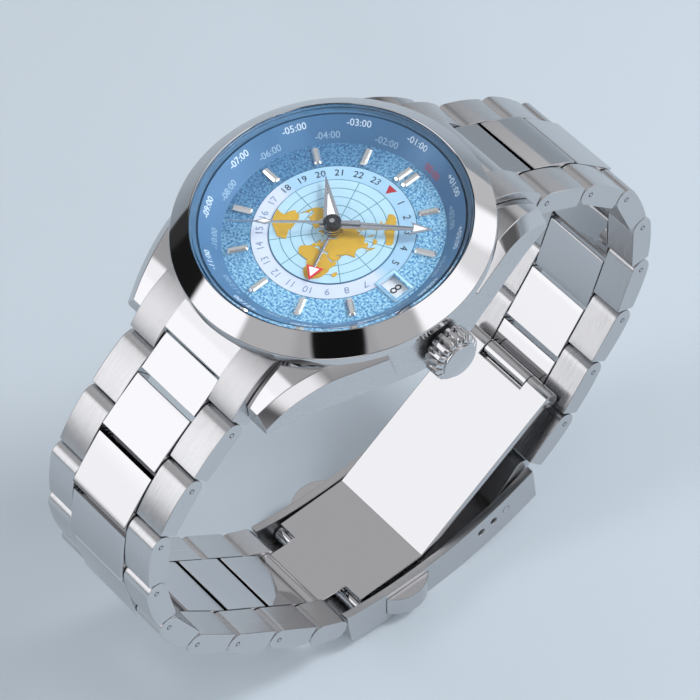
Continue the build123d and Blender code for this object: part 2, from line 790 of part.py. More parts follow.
# Clasp connector: two arms round the last centre link, then a block on its own spring bar
wall_outside = bracelet_width / 2
wall_inside = wall_outside - cover_wall
connector_half = wall_inside - wall_gap
connector_start = place(connector_pivot)
connector_end = place(adjust_points[0])
connector_reach = math.dist(connector_start, connector_end)
connector_angle = math.degrees(
    math.atan2(connector_end[1] - connector_start[1], connector_end[0] - connector_start[0]))
connector_plane = side_plane(connector_start, connector_angle)
with BuildPart() as clasp_connector:
    with BuildSketch(connector_plane):
        with Locations((connector_reach / 2, 0)):
            SlotOverall(connector_reach + connector_diameter, connector_diameter)
    extrude(amount=connector_half, both=True)
    with BuildSketch(connector_plane):
        with Locations((centre_overhang + centre_groove, 0)):
            Rectangle(link_pitch, 2 * link_thickness, align=(Align.MAX, Align.CENTER))
    extrude(amount=outer_inside, both=True, mode=Mode.SUBTRACT)
    add(bar(connector_plane, 0, pin_diameter, centre_link_width))
    with BuildSketch(connector_plane):
        with Locations((connector_reach, 0)):
            Circle(clasp_bar_diameter / 2)
    extrude(amount=connector_half, both=True, mode=Mode.SUBTRACT)
keep("clasp_connector", clasp_connector)

with BuildPart() as clasp_spring_bar:
    add(bar(connector_plane, connector_reach, clasp_bar_diameter, 2 * wall_outside - 2 * running_clearance))
keep("clasp_spring_bar", clasp_spring_bar)

# Clasp cover: a channel between two arcs, with its adjusting holes, hinge pin and button slots
cover_plane = Plane(origin=(0, clasp_middle[0], clasp_middle[1]),
                    x_dir=(0, math.cos(math.radians(clasp_turn)), math.sin(math.radians(clasp_turn))),
                    z_dir=(1, 0, 0))
pusher_tilt = -math.degrees(math.asin(pusher_offset / (cover_arc_radius + pusher_drop)))
pusher_middle = (-pusher_offset, cover_arc(pusher_offset, pusher_drop + pusher_height / 2))
with BuildPart() as clasp_cover:
    with BuildSketch(cover_plane):
        with BuildLine():
            inner = ThreePointArc((-half_cover, 0), (0, cover_arc(0, 0)), (half_cover, 0))
            outer = ThreePointArc((-half_cover, cover_arc(half_cover, cover_wall_height)),
                                  (0, cover_arc(0, cover_wall_height)),
                                  (half_cover, cover_arc(half_cover, cover_wall_height)))
            Line(inner @ 1, outer @ 1)
            Line(inner @ 0, outer @ 0)
        make_face()
    extrude(amount=wall_outside, both=True)
    with BuildSketch(cover_plane):
        wide = half_cover + overrun
        with BuildLine():
            floor = ThreePointArc((-wide, cover_arc(wide, cover_wall_height - cover_wall)),
                                  (0, cover_arc(0, cover_wall_height - cover_wall)),
                                  (wide, cover_arc(wide, cover_wall_height - cover_wall)))
            Polyline(floor @ 1, (wide, cover_wall_height), (-wide, cover_wall_height), floor @ 0)
        make_face()
    extrude(amount=wall_inside, both=True, mode=Mode.SUBTRACT)
    with BuildSketch(cover_plane):
        with Locations(*adjust_points):
            RegularPolygon(clasp_bar_diameter / 2 + running_clearance, adjust_hole_sides, major_radius=False)
        with Locations(Location((pusher_middle[0], pusher_middle[1], 0), (0, 0, pusher_tilt))):
            Rectangle(pusher_length + 2 * running_clearance, pusher_height + 2 * running_clearance)
    extrude(amount=wall_outside + overrun, both=True, mode=Mode.SUBTRACT)
    with BuildSketch(cover_plane):
        with Locations(Location((-pusher_offset, cover_arc(pusher_offset, cover_wall_height - cover_wall / 2),
                                 0), (0, 0, pusher_tilt))):
            Rectangle(spring_block_length, cover_wall_height - cover_wall / 2 - spring_block_drop,
                      align=(Align.CENTER, Align.MIN))
    extrude(amount=spring_block_width / 2, both=True)
    with BuildSketch(cover_plane):
        with Locations(fold_hinge):
            Circle(hinge_pin_diameter / 2)
    extrude(amount=wall_inside, both=True)
keep("clasp_cover", clasp_cover)


def heading(first, second):
    """The angle from one point to another in the side view."""
    return math.degrees(math.atan2(second[1] - first[1], second[0] - first[0]))


def strip(points, thickness):
    """The outline of a bent strip of even thickness, from the points of its middle line."""
    edges = {1: [], -1: []}
    for number, point in enumerate(points):
        before = points[max(number - 1, 0)]
        after = points[min(number + 1, len(points) - 1)]
        leaving = heading(point, after) if number < len(points) - 1 else heading(before, point)
        coming = heading(before, point) if number > 0 else leaving
        reach = thickness / 2 / math.cos(math.radians(leaving - coming) / 2)
        for side in (1, -1):
            edges[side].append(along(point, (leaving + coming) / 2 + 90 * side, reach))
    return edges[1] + edges[-1][::-1]


# The two blades fold flat under the cover, one above the other, either side of one middle line
kink = (-blade_kink_offset, -blade_kink_drop)
rise_angle = heading(kink, far_hinge)
blade_offset = (blade_thickness + blade_gap) / 2
blade_pass = (fold_hinge[0],
              fold_hinge[1] + knuckle_diameter / 2 + blade_gap + blade_thickness / 2)
knuckle_clear = knuckle_diameter / 2 + blade_gap
upper_kink = along(kink, rise_angle / 2 + 90, blade_offset)
lower_kink = along(kink, rise_angle / 2 - 90, blade_offset)
upper_end = along(far_hinge, rise_angle + 90, blade_offset)
lower_end = along(far_hinge, rise_angle - 90, blade_offset)
lower_stop = along(lower_end, rise_angle, -knuckle_clear)
upper_stop = along(upper_end, rise_angle, -knuckle_clear)
blade_start = -half_cover + blade_end_inset

with BuildPart() as clasp_leaf_1:
    with BuildSketch(cover_plane):
        Polygon(*strip([fold_hinge, lower_kink, lower_stop], blade_thickness), align=None)
    extrude(amount=middle_blade_width / 2, both=True)
    with BuildSketch(cover_plane):
        Polygon(*strip([lower_kink, lower_end], blade_thickness), align=None)
        with Locations(far_hinge):
            Circle(knuckle_diameter / 2)
    extrude(amount=centre_knuckle_width / 2, both=True)
    with BuildSketch(cover_plane):
        with Locations(fold_hinge):
            Circle(knuckle_diameter / 2)
    extrude(amount=connector_half, both=True)
    with BuildSketch(cover_plane):
        with Locations(fold_hinge, far_hinge):
            Circle(hinge_pin_diameter / 2 + running_clearance)
    extrude(amount=wall_outside, both=True, mode=Mode.SUBTRACT)
keep("clasp_leaf_1", clasp_leaf_1)

with BuildPart() as clasp_leaf_2:
    with BuildSketch(cover_plane):
        Polygon(*strip([end_pivot, blade_pass, upper_kink, upper_stop], blade_thickness), align=None)
        with Locations(end_pivot):
            Circle(knuckle_diameter / 2)
    extrude(amount=centre_link_width / 2, both=True)
    with BuildSketch(cover_plane):
        Polygon(*strip([blade_pass, upper_kink, upper_end], blade_thickness), align=None)
        with Locations(far_hinge):
            Circle(knuckle_diameter / 2)
    extrude(amount=blade_width / 2, both=True)
    with BuildSketch(cover_plane):
        with Locations(Location((upper_stop[0], upper_stop[1], 0), (0, 0, rise_angle))):
            Rectangle(2 * knuckle_clear + knuckle_diameter, link_thickness * 2,
                      align=(Align.MIN, Align.CENTER))
    extrude(amount=centre_knuckle_width / 2 + side_gap, both=True, mode=Mode.SUBTRACT)
    with BuildSketch(cover_plane):
        with Locations(end_pivot):
            Circle(hinge_pin_diameter / 2 + running_clearance)
    extrude(amount=wall_outside, both=True, mode=Mode.SUBTRACT)
    with BuildSketch(cover_plane):
        with Locations(far_hinge):
            Circle(hinge_pin_diameter / 2)
    extrude(amount=blade_width / 2, both=True)
keep("clasp_leaf_2", clasp_leaf_2)

# Push buttons, each with a flange inside the wall that a spring holds against it
pusher_turn = math.radians(clasp_turn + pusher_tilt)
pusher_top = along(place(pusher_middle), clasp_turn + pusher_tilt + 90, pusher_height / 2)
pusher_plane = Plane(origin=(0, pusher_top[0], pusher_top[1]),
                     x_dir=(0, math.cos(pusher_turn), math.sin(pusher_turn)),
                     z_dir=(0, math.sin(pusher_turn), -math.cos(pusher_turn)))
button_inside = wall_inside + pusher_travel - blade_gap
flange_outside = wall_inside - running_clearance


def make_pusher(name, side):
    """One push button. side is 1 on the crown's side."""
    half = pusher_length / 2
    with BuildPart() as pusher:
        with BuildSketch(pusher_plane):
            with BuildLine():
                Polyline((half, side * wall_outside), (half, side * button_inside),
                         (-half, side * button_inside), (-half, side * wall_outside))
                ThreePointArc((-half, side * wall_outside), (0, side * (wall_outside + pusher_bulge)),
                              (half, side * wall_outside))
            make_face()
        extrude(amount=pusher_height)
        with BuildSketch(pusher_plane.offset(pusher_margin)):
            with Locations((0, side * (flange_outside - pusher_flange_depth / 2))):
                Rectangle(pusher_length + 2 * pusher_margin, pusher_flange_depth)
            with Locations((0, side * (button_inside + flange_outside) / 2)):
                Rectangle(pusher_length, button_inside - flange_outside)
        extrude(amount=pusher_height - pusher_margin)
    keep(name, pusher)


make_pusher("pusher_crown_side", 1)
make_pusher("pusher_far_side", -1)

# Button springs, drawn at their pressed length
spring_start = spring_block_width / 2
spring_length = flange_outside - pusher_flange_depth - pusher_travel - running_clearance - spring_start
with BuildPart() as pusher_springs:
    for side in (1, -1):
        with BuildSketch(cover_plane.offset(side * spring_start)):
            with Locations((-pusher_offset, cover_arc(pusher_offset, spring_drop))):
                Circle(spring_diameter / 2)
        extrude(amount=side * spring_length)
keep("pusher_springs", pusher_springs)

# The places of the joints, as (y, z) in the side view
print("pivots_twelve", [[round(value, 5) for value in pivot] for pivot in pivots_twelve])
print("pivots_six", [[round(value, 5) for value in pivot] for pivot in pivots_six])
for name, point in (("adjust_hole", adjust_points[0]), ("fold_hinge", fold_hinge), ("far_hinge", far_hinge)):
    print(name, [round(value, 5) for value in place(point)])
print("stem_height", stem_height, "dial_top", dial_top, "crystal_top", round(crystal_top, 4))
print("pieces", len(pieces))

os.makedirs("parts", exist_ok=True)
for name, piece in pieces.items():
    export_step(piece, f"parts/{name}.step")
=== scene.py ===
import json
import math

import bmesh
import bpy
from mathutils import Matrix, Vector


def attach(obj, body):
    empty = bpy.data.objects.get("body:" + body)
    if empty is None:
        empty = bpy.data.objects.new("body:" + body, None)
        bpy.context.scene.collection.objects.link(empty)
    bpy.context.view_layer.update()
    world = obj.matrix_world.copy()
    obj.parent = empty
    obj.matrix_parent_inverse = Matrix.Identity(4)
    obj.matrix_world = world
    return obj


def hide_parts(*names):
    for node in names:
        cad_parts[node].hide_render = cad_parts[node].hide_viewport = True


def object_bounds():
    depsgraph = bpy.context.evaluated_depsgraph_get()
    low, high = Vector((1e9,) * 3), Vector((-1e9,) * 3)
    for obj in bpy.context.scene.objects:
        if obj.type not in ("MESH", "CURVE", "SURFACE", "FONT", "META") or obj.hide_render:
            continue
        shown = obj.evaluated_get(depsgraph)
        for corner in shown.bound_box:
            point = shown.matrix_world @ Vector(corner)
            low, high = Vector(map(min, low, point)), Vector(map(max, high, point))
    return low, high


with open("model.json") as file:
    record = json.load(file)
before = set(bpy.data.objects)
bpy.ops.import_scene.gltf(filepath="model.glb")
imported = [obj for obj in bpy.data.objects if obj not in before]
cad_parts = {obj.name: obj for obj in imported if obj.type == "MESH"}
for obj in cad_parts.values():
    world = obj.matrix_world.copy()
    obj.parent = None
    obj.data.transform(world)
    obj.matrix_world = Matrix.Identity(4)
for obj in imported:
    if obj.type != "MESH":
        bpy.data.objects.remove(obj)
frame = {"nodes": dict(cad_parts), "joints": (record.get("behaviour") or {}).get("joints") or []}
nodes = frame["nodes"]
cad_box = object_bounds()
scene = bpy.context.scene
MM = 0.001

# Camera. A long lens looks down on the dial from between the crown and six o'clock,
# and leans a little to one side, so twelve o'clock points up and to the right.
dial_height = 7.4
frame_pixels, focal_pixels, sensor_width = 700, 4199, 36
camera_away, camera_aside, camera_below = 509.8, 1.948, 13.99
camera_data = bpy.data.cameras.new("camera")
camera_data.sensor_width = sensor_width
camera_data.lens = focal_pixels / frame_pixels * sensor_width
camera_data.clip_start = 0.05
camera_data.clip_end = 20
camera = bpy.data.objects.new("camera", camera_data)
scene.collection.objects.link(camera)
look_back = Vector((0.490, -0.328, 0.808)).normalized()
look_up = Vector((-0.587, 0.561, 0.584))
look_up = (look_up - look_up.dot(look_back) * look_back).normalized()
look_right = look_up.cross(look_back)
aim = Vector((0, 0, dial_height))
place = aim + camera_away * look_back + camera_aside * look_right - camera_below * look_up
turn = Matrix((look_right, look_up, look_back)).transposed().to_4x4()
camera.matrix_world = Matrix.Translation(place * MM) @ turn
scene.camera = camera
scene.view_settings.view_transform = "Standard"

# Floor. A wide round sheet of pale blue-grey paper lies under the clasp, and the faces of the
# steel that look down mirror it.
floor_height = cad_box[0][2]
floor_radius = 3
floor_colour = (0.58, 0.66, 0.73)
bm = bmesh.new()
bmesh.ops.create_circle(bm, cap_ends=True, segments=64, radius=floor_radius)
bmesh.ops.translate(bm, verts=bm.verts, vec=(0, 0, floor_height))
floor_mesh = bpy.data.meshes.new("floor")
bm.to_mesh(floor_mesh)
bm.free()
floor = bpy.data.objects.new("floor", floor_mesh)
scene.collection.objects.link(floor)
floor_paper = bpy.data.materials.new("floor_paper")
floor_paper.use_nodes = True
paper = floor_paper.node_tree.nodes["Principled BSDF"]
paper.inputs["Base Color"].default_value = (*floor_colour, 1)
paper.inputs["Roughness"].default_value = 0.9
floor_mesh.materials.append(floor_paper)

# Light. The room is grey with a dark band at eye level, a few pale panels and a few dark ones,
# which is what polished steel needs to look like steel, and three soft boxes light the dial.
# Each stop is a height in the room, from its floor to its ceiling, and the grey there.
stops = [(0.0, 0.40), (0.47, 0.45), (0.52, 0.16), (0.60, 0.18), (0.72, 0.42), (0.84, 0.62), (1.0, 0.50)]
wall_blue, panel_blue = 1.03, 1.02
world = bpy.data.worlds.new("studio")
scene.world = world
world.use_nodes = True
room = world.node_tree
room.nodes.clear()
direction = room.nodes.new("ShaderNodeTexCoord")
split = room.nodes.new("ShaderNodeSeparateXYZ")
room.links.new(direction.outputs["Generated"], split.inputs[0])
height_ramp = room.nodes.new("ShaderNodeValToRGB")
height_ramp.color_ramp.interpolation = "EASE"
height_ramp.color_ramp.elements[0].position = stops[0][0]
height_ramp.color_ramp.elements[1].position = stops[-1][0]
for position, _ in stops[1:-1]:
    height_ramp.color_ramp.elements.new(position)
for element, (_, level) in zip(height_ramp.color_ramp.elements, stops):
    element.color = (level, level, level * wall_blue, 1)
lift = room.nodes.new("ShaderNodeMath")
lift.operation = "MULTIPLY_ADD"
lift.inputs[1].default_value = 0.5
lift.inputs[2].default_value = 0.5
room.links.new(split.outputs["Z"], lift.inputs[0])
room.links.new(lift.outputs[0], height_ramp.inputs[0])
# Each panel is where it stands, the degrees from its middle to where it starts and ends to fade,
# and how bright it is.
panels = [
    ((0.60, 0.50, 0.60), 16, 26, 1.75),
    ((0.37, 0.83, 0.42), 5, 14, 1.25),
    ((0.13, 0.95, 0.28), 8, 14, 1.75),
    ((-0.25, 0.96, 0.06), 12, 20, 0.85),
    ((0.95, 0.10, 0.20), 8, 16, 0.70),
    ((0.70, -0.62, 0.36), 7, 20, 1.50),
    ((-0.95, -0.20, 0.12), 12, 22, 0.05),
    ((-0.83, -0.48, 0.28), 13, 18, 0.015),
    ((0.00, -0.76, 0.65), 10, 18, 0.75),
    ((-0.49, -0.81, 0.30), 10, 15, 1.60),
    ((-0.47, -0.73, 0.50), 14, 18, 1.75),
    ((-0.49, -0.50, 0.70), 5, 9, 1.60),
    ((0.70, 0.01, 0.71), 9, 14, 0.70),
    ((0.50, -0.44, 0.74), 12, 15, 0.01),
    ((-0.49, 0.33, 0.81), 14, 26, 0.62),
]
light_level = height_ramp.outputs[0]
for toward, full, gone, level in panels:
    facing = room.nodes.new("ShaderNodeVectorMath")
    facing.operation = "DOT_PRODUCT"
    facing.inputs[1].default_value = Vector(toward).normalized()
    room.links.new(direction.outputs["Generated"], facing.inputs[0])
    edge = room.nodes.new("ShaderNodeMapRange")
    edge.interpolation_type = "SMOOTHSTEP"
    edge.inputs["From Min"].default_value = math.cos(math.radians(gone))
    edge.inputs["From Max"].default_value = math.cos(math.radians(full))
    room.links.new(facing.outputs["Value"], edge.inputs["Value"])
    blend = room.nodes.new("ShaderNodeMix")
    blend.data_type = "RGBA"
    room.links.new(edge.outputs["Result"], blend.inputs[0])
    room.links.new(light_level, blend.inputs[6])
    blend.inputs[7].default_value = (level, level, level * panel_blue, 1)
    light_level = blend.outputs[2]
backdrop = room.nodes.new("ShaderNodeBackground")
backdrop.inputs["Strength"].default_value = 0.9
room.links.new(light_level, backdrop.inputs["Color"])
room_out = room.nodes.new("ShaderNodeOutputWorld")
room.links.new(backdrop.outputs[0], room_out.inputs[0])


def soft_box(name, spot, aim, size, power):
    """A lamp of a width and height at a spot that faces its aim, all in millimetres."""
    lamp = bpy.data.lights.new(name, "AREA")
    lamp.shape = "RECTANGLE"
    lamp.size = size[0] * MM
    lamp.size_y = size[1] * MM
    lamp.energy = power
    box = bpy.data.objects.new(name, lamp)
    scene.collection.objects.link(box)
    box.visible_glossy = False
    facing = (Vector(spot) - Vector(aim)).to_track_quat("Z", "Y").to_matrix().to_4x4()
    box.matrix_world = Matrix.Translation(Vector(spot) * MM) @ facing


soft_box("key_box", (200, 330, 360), (0, 0, 0), (120, 120), 1.2)
soft_box("side_box", (360, -60, 160), (0, 0, -20), (90, 180), 0.35)
soft_box("fill_box", (-260, -330, 260), (0, 0, -20), (180, 120), 0.35)

# Steel. Every piece of the case and bracelet is the same stainless steel: brushed surfaces carry
# fine lines along the piece, and polished ones are mirror smooth with faint handling marks.
steel_colour = (0.60, 0.60, 0.61)
stroke_depth = 0.02


def socket(tree, name, way, value=None):
    """Adds one named number to a node group's inputs or outputs."""
    item = tree.interface.new_socket(name=name, in_out=way, socket_type="NodeSocketFloat")
    if value is not None:
        item.default_value = value


def math_node(tree, operation, first, second=None, third=None, clamp=False):
    """A math node fed by sockets or numbers."""
    node = tree.nodes.new("ShaderNodeMath")
    node.operation = operation
    node.use_clamp = clamp
    for slot, value in zip(node.inputs, (first, second, third)):
        if value is None:
            continue
        if isinstance(value, (int, float)):
            slot.default_value = value
        else:
            tree.links.new(value, slot)
    return node.outputs[0]


# The brushed grain is noise drawn out along one axis, given as how fine it is along each axis.
grain = bpy.data.node_groups.new("brushed_grain", "ShaderNodeTree")
for axis in "XYZ":
    socket(grain, f"Fine {axis}", "INPUT", 100.0)
socket(grain, "Roughness", "INPUT", 0.3)
socket(grain, "Spread", "INPUT", 0.1)
socket(grain, "Roughness", "OUTPUT")
socket(grain, "Height", "OUTPUT")
group_in = grain.nodes.new("NodeGroupInput")
group_out = grain.nodes.new("NodeGroupOutput")
where = grain.nodes.new("ShaderNodeTexCoord")
fine = grain.nodes.new("ShaderNodeCombineXYZ")
for axis in "XYZ":
    grain.links.new(group_in.outputs[f"Fine {axis}"], fine.inputs[axis])
stretch = grain.nodes.new("ShaderNodeVectorMath")
stretch.operation = "MULTIPLY"
grain.links.new(where.outputs["Object"], stretch.inputs[0])
grain.links.new(fine.outputs[0], stretch.inputs[1])
lines = grain.nodes.new("ShaderNodeTexNoise")
lines.inputs["Scale"].default_value = 100
lines.inputs["Detail"].default_value = 3
grain.links.new(stretch.outputs[0], lines.inputs["Vector"])
centred = math_node(grain, "SUBTRACT", lines.outputs["Fac"], 0.5)
swing = math_node(grain, "MULTIPLY", centred, group_in.outputs["Spread"])
rough_out = math_node(grain, "ADD", swing, group_in.outputs["Roughness"], clamp=True)
grain.links.new(rough_out, group_out.inputs["Roughness"])
grain.links.new(lines.outputs["Fac"], group_out.inputs["Height"])


def brushed(name, fineness, rough, spread):
    """Brushed steel. fineness is how close the lines lie along x, y and z."""
    finish = bpy.data.materials.new(name)
    finish.use_nodes = True
    tree = finish.node_tree
    shader = tree.nodes["Principled BSDF"]
    shader.inputs["Metallic"].default_value = 1
    shader.inputs["Base Color"].default_value = (*steel_colour, 1)
    strokes = tree.nodes.new("ShaderNodeGroup")
    strokes.node_tree = grain
    for axis, value in zip("XYZ", fineness):
        strokes.inputs[f"Fine {axis}"].default_value = value
    strokes.inputs["Roughness"].default_value = rough
    strokes.inputs["Spread"].default_value = spread
    tree.links.new(strokes.outputs["Roughness"], shader.inputs["Roughness"])
    bump = tree.nodes.new("ShaderNodeBump")
    bump.inputs["Strength"].default_value = 0.5
    bump.inputs["Distance"].default_value = stroke_depth * MM
    tree.links.new(strokes.outputs["Height"], bump.inputs["Height"])
    tree.links.new(bump.outputs[0], shader.inputs["Normal"])
    return finish


def polish_outside(finish, mask, gloss):
    """Keeps a brushed finish where a mask is one, and polishes the rest to a roughness."""
    tree = finish.node_tree
    strokes = next(node for node in tree.nodes if node.type == "GROUP")
    bump = next(node for node in tree.nodes if node.type == "BUMP")
    above_gloss = math_node(tree, "SUBTRACT", strokes.outputs["Roughness"], gloss)
    rough = math_node(tree, "MULTIPLY_ADD", above_gloss, mask, gloss)
    tree.links.new(rough, tree.nodes["Principled BSDF"].inputs["Roughness"])
    tree.links.new(math_node(tree, "MULTIPLY", strokes.outputs["Height"], mask), bump.inputs["Height"])


def paint(name, colour, low=0.35, high=0.45, metallic=0.0, scale=900):
    """A metal, lacquer, ink or rubber, whose roughness wanders from low to high as handling leaves it."""
    finish = bpy.data.materials.new(name)
    finish.use_nodes = True
    tree = finish.node_tree
    shader = tree.nodes["Principled BSDF"]
    shader.inputs["Base Color"].default_value = (*colour, 1)
    shader.inputs["Metallic"].default_value = metallic
    where = tree.nodes.new("ShaderNodeTexCoord")
    noise = tree.nodes.new("ShaderNodeTexNoise")
    noise.inputs["Scale"].default_value = scale
    noise.inputs["Detail"].default_value = 2
    tree.links.new(where.outputs["Object"], noise.inputs["Vector"])
    gloss = math_node(tree, "MULTIPLY_ADD", noise.outputs["Fac"], high - low, low)
    tree.links.new(gloss, shader.inputs["Roughness"])
    return finish


def dress(node_name, finish):
    """Gives a CAD node its finish."""
    mesh = nodes[node_name].data
    mesh.materials.clear()
    mesh.materials.append(finish)


polished = paint("polished_steel", steel_colour, 0.03, 0.07, 1.0, 150)

# Case. One steel middle with four lugs, closed by a screwed back: its flanks are brushed along
# their length, its upward faces are polished, and a wide polished bevel runs along each lug.
tip_across, tip_reach, flare_across, flare_reach = 13.3, 22.5, 18.41, 7.0
lug_foot = 3.5
lug_bevel, case_bevel = 1.35, 0.1
edge_slack = 0.06
upward = 0.3
case_finish = brushed("case_steel", (24, 2, 240), 0.28, 0.12)
case_tree = case_finish.node_tree
case_facing = case_tree.nodes.new("ShaderNodeTexCoord")
case_split = case_tree.nodes.new("ShaderNodeSeparateXYZ")
case_tree.links.new(case_facing.outputs["Normal"], case_split.inputs[0])
polish_outside(case_finish, math_node(case_tree, "LESS_THAN", case_split.outputs["Z"], upward), 0.06)


def cad_copy(node_name):
    """A CAD node's shape with its triangles merged into whole faces."""
    bm = bmesh.new()
    bm.from_mesh(nodes[node_name].data)
    for face in bm.faces:
        face.material_index = 0
    bmesh.ops.remove_doubles(bm, verts=bm.verts, dist=2e-6)
    bmesh.ops.dissolve_limit(bm, angle_limit=0.01, verts=bm.verts, edges=bm.edges)
    return bm


def sharp_edges(bm, angle=0.45):
    """The edges whose two faces meet at more than an angle in radians."""
    return [edge for edge in bm.edges if len(edge.link_faces) == 2 and edge.calc_face_angle(0) > angle]


def round_edges(bm, edges, width, segments=2, clamp=False):
    """Bevels edges by a width in millimetres."""
    bmesh.ops.bevel(bm, geom=edges, offset=width * MM, offset_type="OFFSET", affect="EDGES",
                    segments=segments, profile=0.5, material=-1, clamp_overlap=clamp)


def finish_piece(bm, name, body, materials, replaced=(), smooth_below=None):
    """Turns a bmesh into a piece that rides on a body; smooth_below is the sharpest angle shaded smooth."""
    bmesh.ops.remove_doubles(bm, verts=bm.verts, dist=1e-7)
    bmesh.ops.recalc_face_normals(bm, faces=bm.faces)
    if smooth_below is not None:
        for face in bm.faces:
            face.smooth = True
        for edge in bm.edges:
            edge.smooth = len(edge.link_faces) == 2 and edge.calc_face_angle(0) < smooth_below
    mesh = bpy.data.meshes.new(name)
    bm.to_mesh(mesh)
    bm.free()
    for material in materials:
        mesh.materials.append(material)
    piece = bpy.data.objects.new(name, mesh)
    scene.collection.objects.link(piece)
    if smooth_below is not None:
        even = piece.modifiers.new("even_shading", "WEIGHTED_NORMAL")
        even.keep_sharp = True
    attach(piece, body)
    if replaced:
        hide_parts(*replaced)


def on_lug_edge(vert):
    """Whether a vertex lies on the upper outer edge of a lug."""
    reach = abs(vert.co.y) / MM
    line = tip_across + (tip_reach - reach) * (flare_across - tip_across) / (tip_reach - flare_reach)
    off_line = abs(abs(vert.co.x) / MM - line)
    return reach > flare_reach - 0.1 and vert.co.z > lug_foot * MM and off_line < edge_slack


bm = cad_copy("case_middle")
lug_edges = [edge for edge in sharp_edges(bm, 0.9) if all(on_lug_edge(vert) for vert in edge.verts)
             and max(face.normal.z for face in edge.link_faces) > upward]
round_edges(bm, lug_edges, lug_bevel, 1)
round_edges(bm, sharp_edges(bm), case_bevel)
finish_piece(bm, "case_body", "head", [case_finish], ["case_middle"], 0.6)
dress("case_back", polished)

# Bezel. A turned steel ring is pressed on the case over the crystal's edge, mirror polished
# all over, with soft turned edges.
bezel_profile = [(17.33, 8.0), (19.9, 8.0), (20.0, 8.1), (20.0, 9.1), (19.9, 9.33), (17.55, 11.27),
                 (17.40, 11.36), (17.33, 11.30)]


def turned(bm, profile, steps):
    """Spins a closed profile of (radius, height) points, in millimetres, about the dial's axis."""
    corners = [bm.verts.new((radius * MM, 0, height * MM)) for radius, height in profile]
    ring = [bm.edges.new((a, b)) for a, b in zip(corners, corners[1:] + corners[:1])]
    bmesh.ops.spin(bm, geom=corners + ring, cent=(0, 0, 0), axis=(0, 0, 1), angle=2 * math.pi, steps=steps,
                   use_merge=True)


bm = bmesh.new()
turned(bm, bezel_profile, 256)
finish_piece(bm, "polished_bezel", "head", [polished], ["bezel"], 0.7)

# Crystal. A flat sapphire disc, almost clear, with a ground bevel round its rim, is pressed
# in the bezel.
crystal_profile = [(0.0, 9.95), (17.25, 9.95), (17.30, 10.0), (17.30, 11.2), (17.0, 11.5), (0.0, 11.5)]
clear = bpy.data.materials.new("sapphire")
clear.use_nodes = True
glass = clear.node_tree.nodes["Principled BSDF"]
glass.inputs["Base Color"].default_value = (0.97, 0.985, 1.0, 1)
glass.inputs["Roughness"].default_value = 0.0
glass.inputs["Transmission Weight"].default_value = 1.0
glass.inputs["IOR"].default_value = 1.45
light_path = clear.node_tree.nodes.new("ShaderNodeLightPath")
see_through = math_node(clear.node_tree, "SUBTRACT", 1.0, light_path.outputs["Is Shadow Ray"])
clear.node_tree.links.new(see_through, glass.inputs["Alpha"])
bm = bmesh.new()
turned(bm, crystal_profile, 192)
finish_piece(bm, "sapphire_crystal", "head", [clear], ["crystal"], 0.5)

# Crown. Turned steel with eighteen deep flutes, a wide bevel through their ends and a polished cap
# with a turned ring; it screws on the stem, and its hollow back takes the case's tube and a gasket.
crown_height = 4.4
crown_radius, face_radius = 3.3, 2.5
flutes = 18
flute_deep = 0.5
flute_steps = 10
crown_base, flute_end, crown_rim, crown_face = 20.2, 22.3, 22.65, 22.87
foot_bevel, rim_bevel = 0.12, 0.35
crown_lip, crown_hollow = 0.9, 1.8
cap_profile = [(22.7, 0), (22.7, 2.45), (23.06, 2.45), (23.14, 2.36), (23.14, 1.95), (23.09, 1.85),
               (23.16, 0.9), (23.2, 0)]


def across_x(reach, turn, out):
    """A point on a ring about the stem, at a reach along the stem, in metres."""
    return Vector((reach, out * math.cos(turn), crown_height + out * math.sin(turn))) * MM


def flute_radius(turn, trim):
    """How far the crown's side stands at an angle, with rounded ridges between narrow valleys."""
    wave = min(1.0, 1.5 * abs(math.cos(turn * flutes / 2)) ** 1.2)
    return crown_radius - flute_deep + flute_deep * wave - trim


bm = bmesh.new()
turns = [2 * math.pi * step / (flutes * flute_steps) for step in range(flutes * flute_steps)]
rings = []
for reach, trim in ((crown_base, foot_bevel), (crown_base + foot_bevel, 0.0), (flute_end, 0.0),
                    (crown_rim, rim_bevel)):
    rings.append([bm.verts.new(across_x(reach, turn, flute_radius(turn, trim))) for turn in turns])
rings.append([bm.verts.new(across_x(crown_face, turn, face_radius)) for turn in turns])
loops = [[bm.edges.new((a, b)) for a, b in zip(ring, ring[1:] + ring[:1])] for ring in rings]
for first, second in zip(loops, loops[1:]):
    bmesh.ops.bridge_loops(bm, edges=first + second)
bm.faces.new(rings[-1])
back = bm.faces.new(rings[0])
bmesh.ops.inset_region(bm, faces=[back], thickness=crown_lip * MM, depth=0)
bmesh.ops.translate(bm, verts=list(back.verts), vec=(crown_hollow * MM, 0, 0))
cap = [bm.verts.new(across_x(reach, 0, out)) for reach, out in cap_profile]
cap_edges = [bm.edges.new((a, b)) for a, b in zip(cap, cap[1:])]
bmesh.ops.spin(bm, geom=cap + cap_edges, cent=(0, 0, crown_height * MM), axis=(1, 0, 0), angle=2 * math.pi,
               steps=120, use_merge=True)
finish_piece(bm, "fluted_crown", "crown", [polished], ["crown"], 0.7)
dress("crown_tube", polished)
dress("winding_stem", polished)
dress("crown_gasket", paint("crown_rubber", (0.02, 0.02, 0.02), 0.5, 0.65))

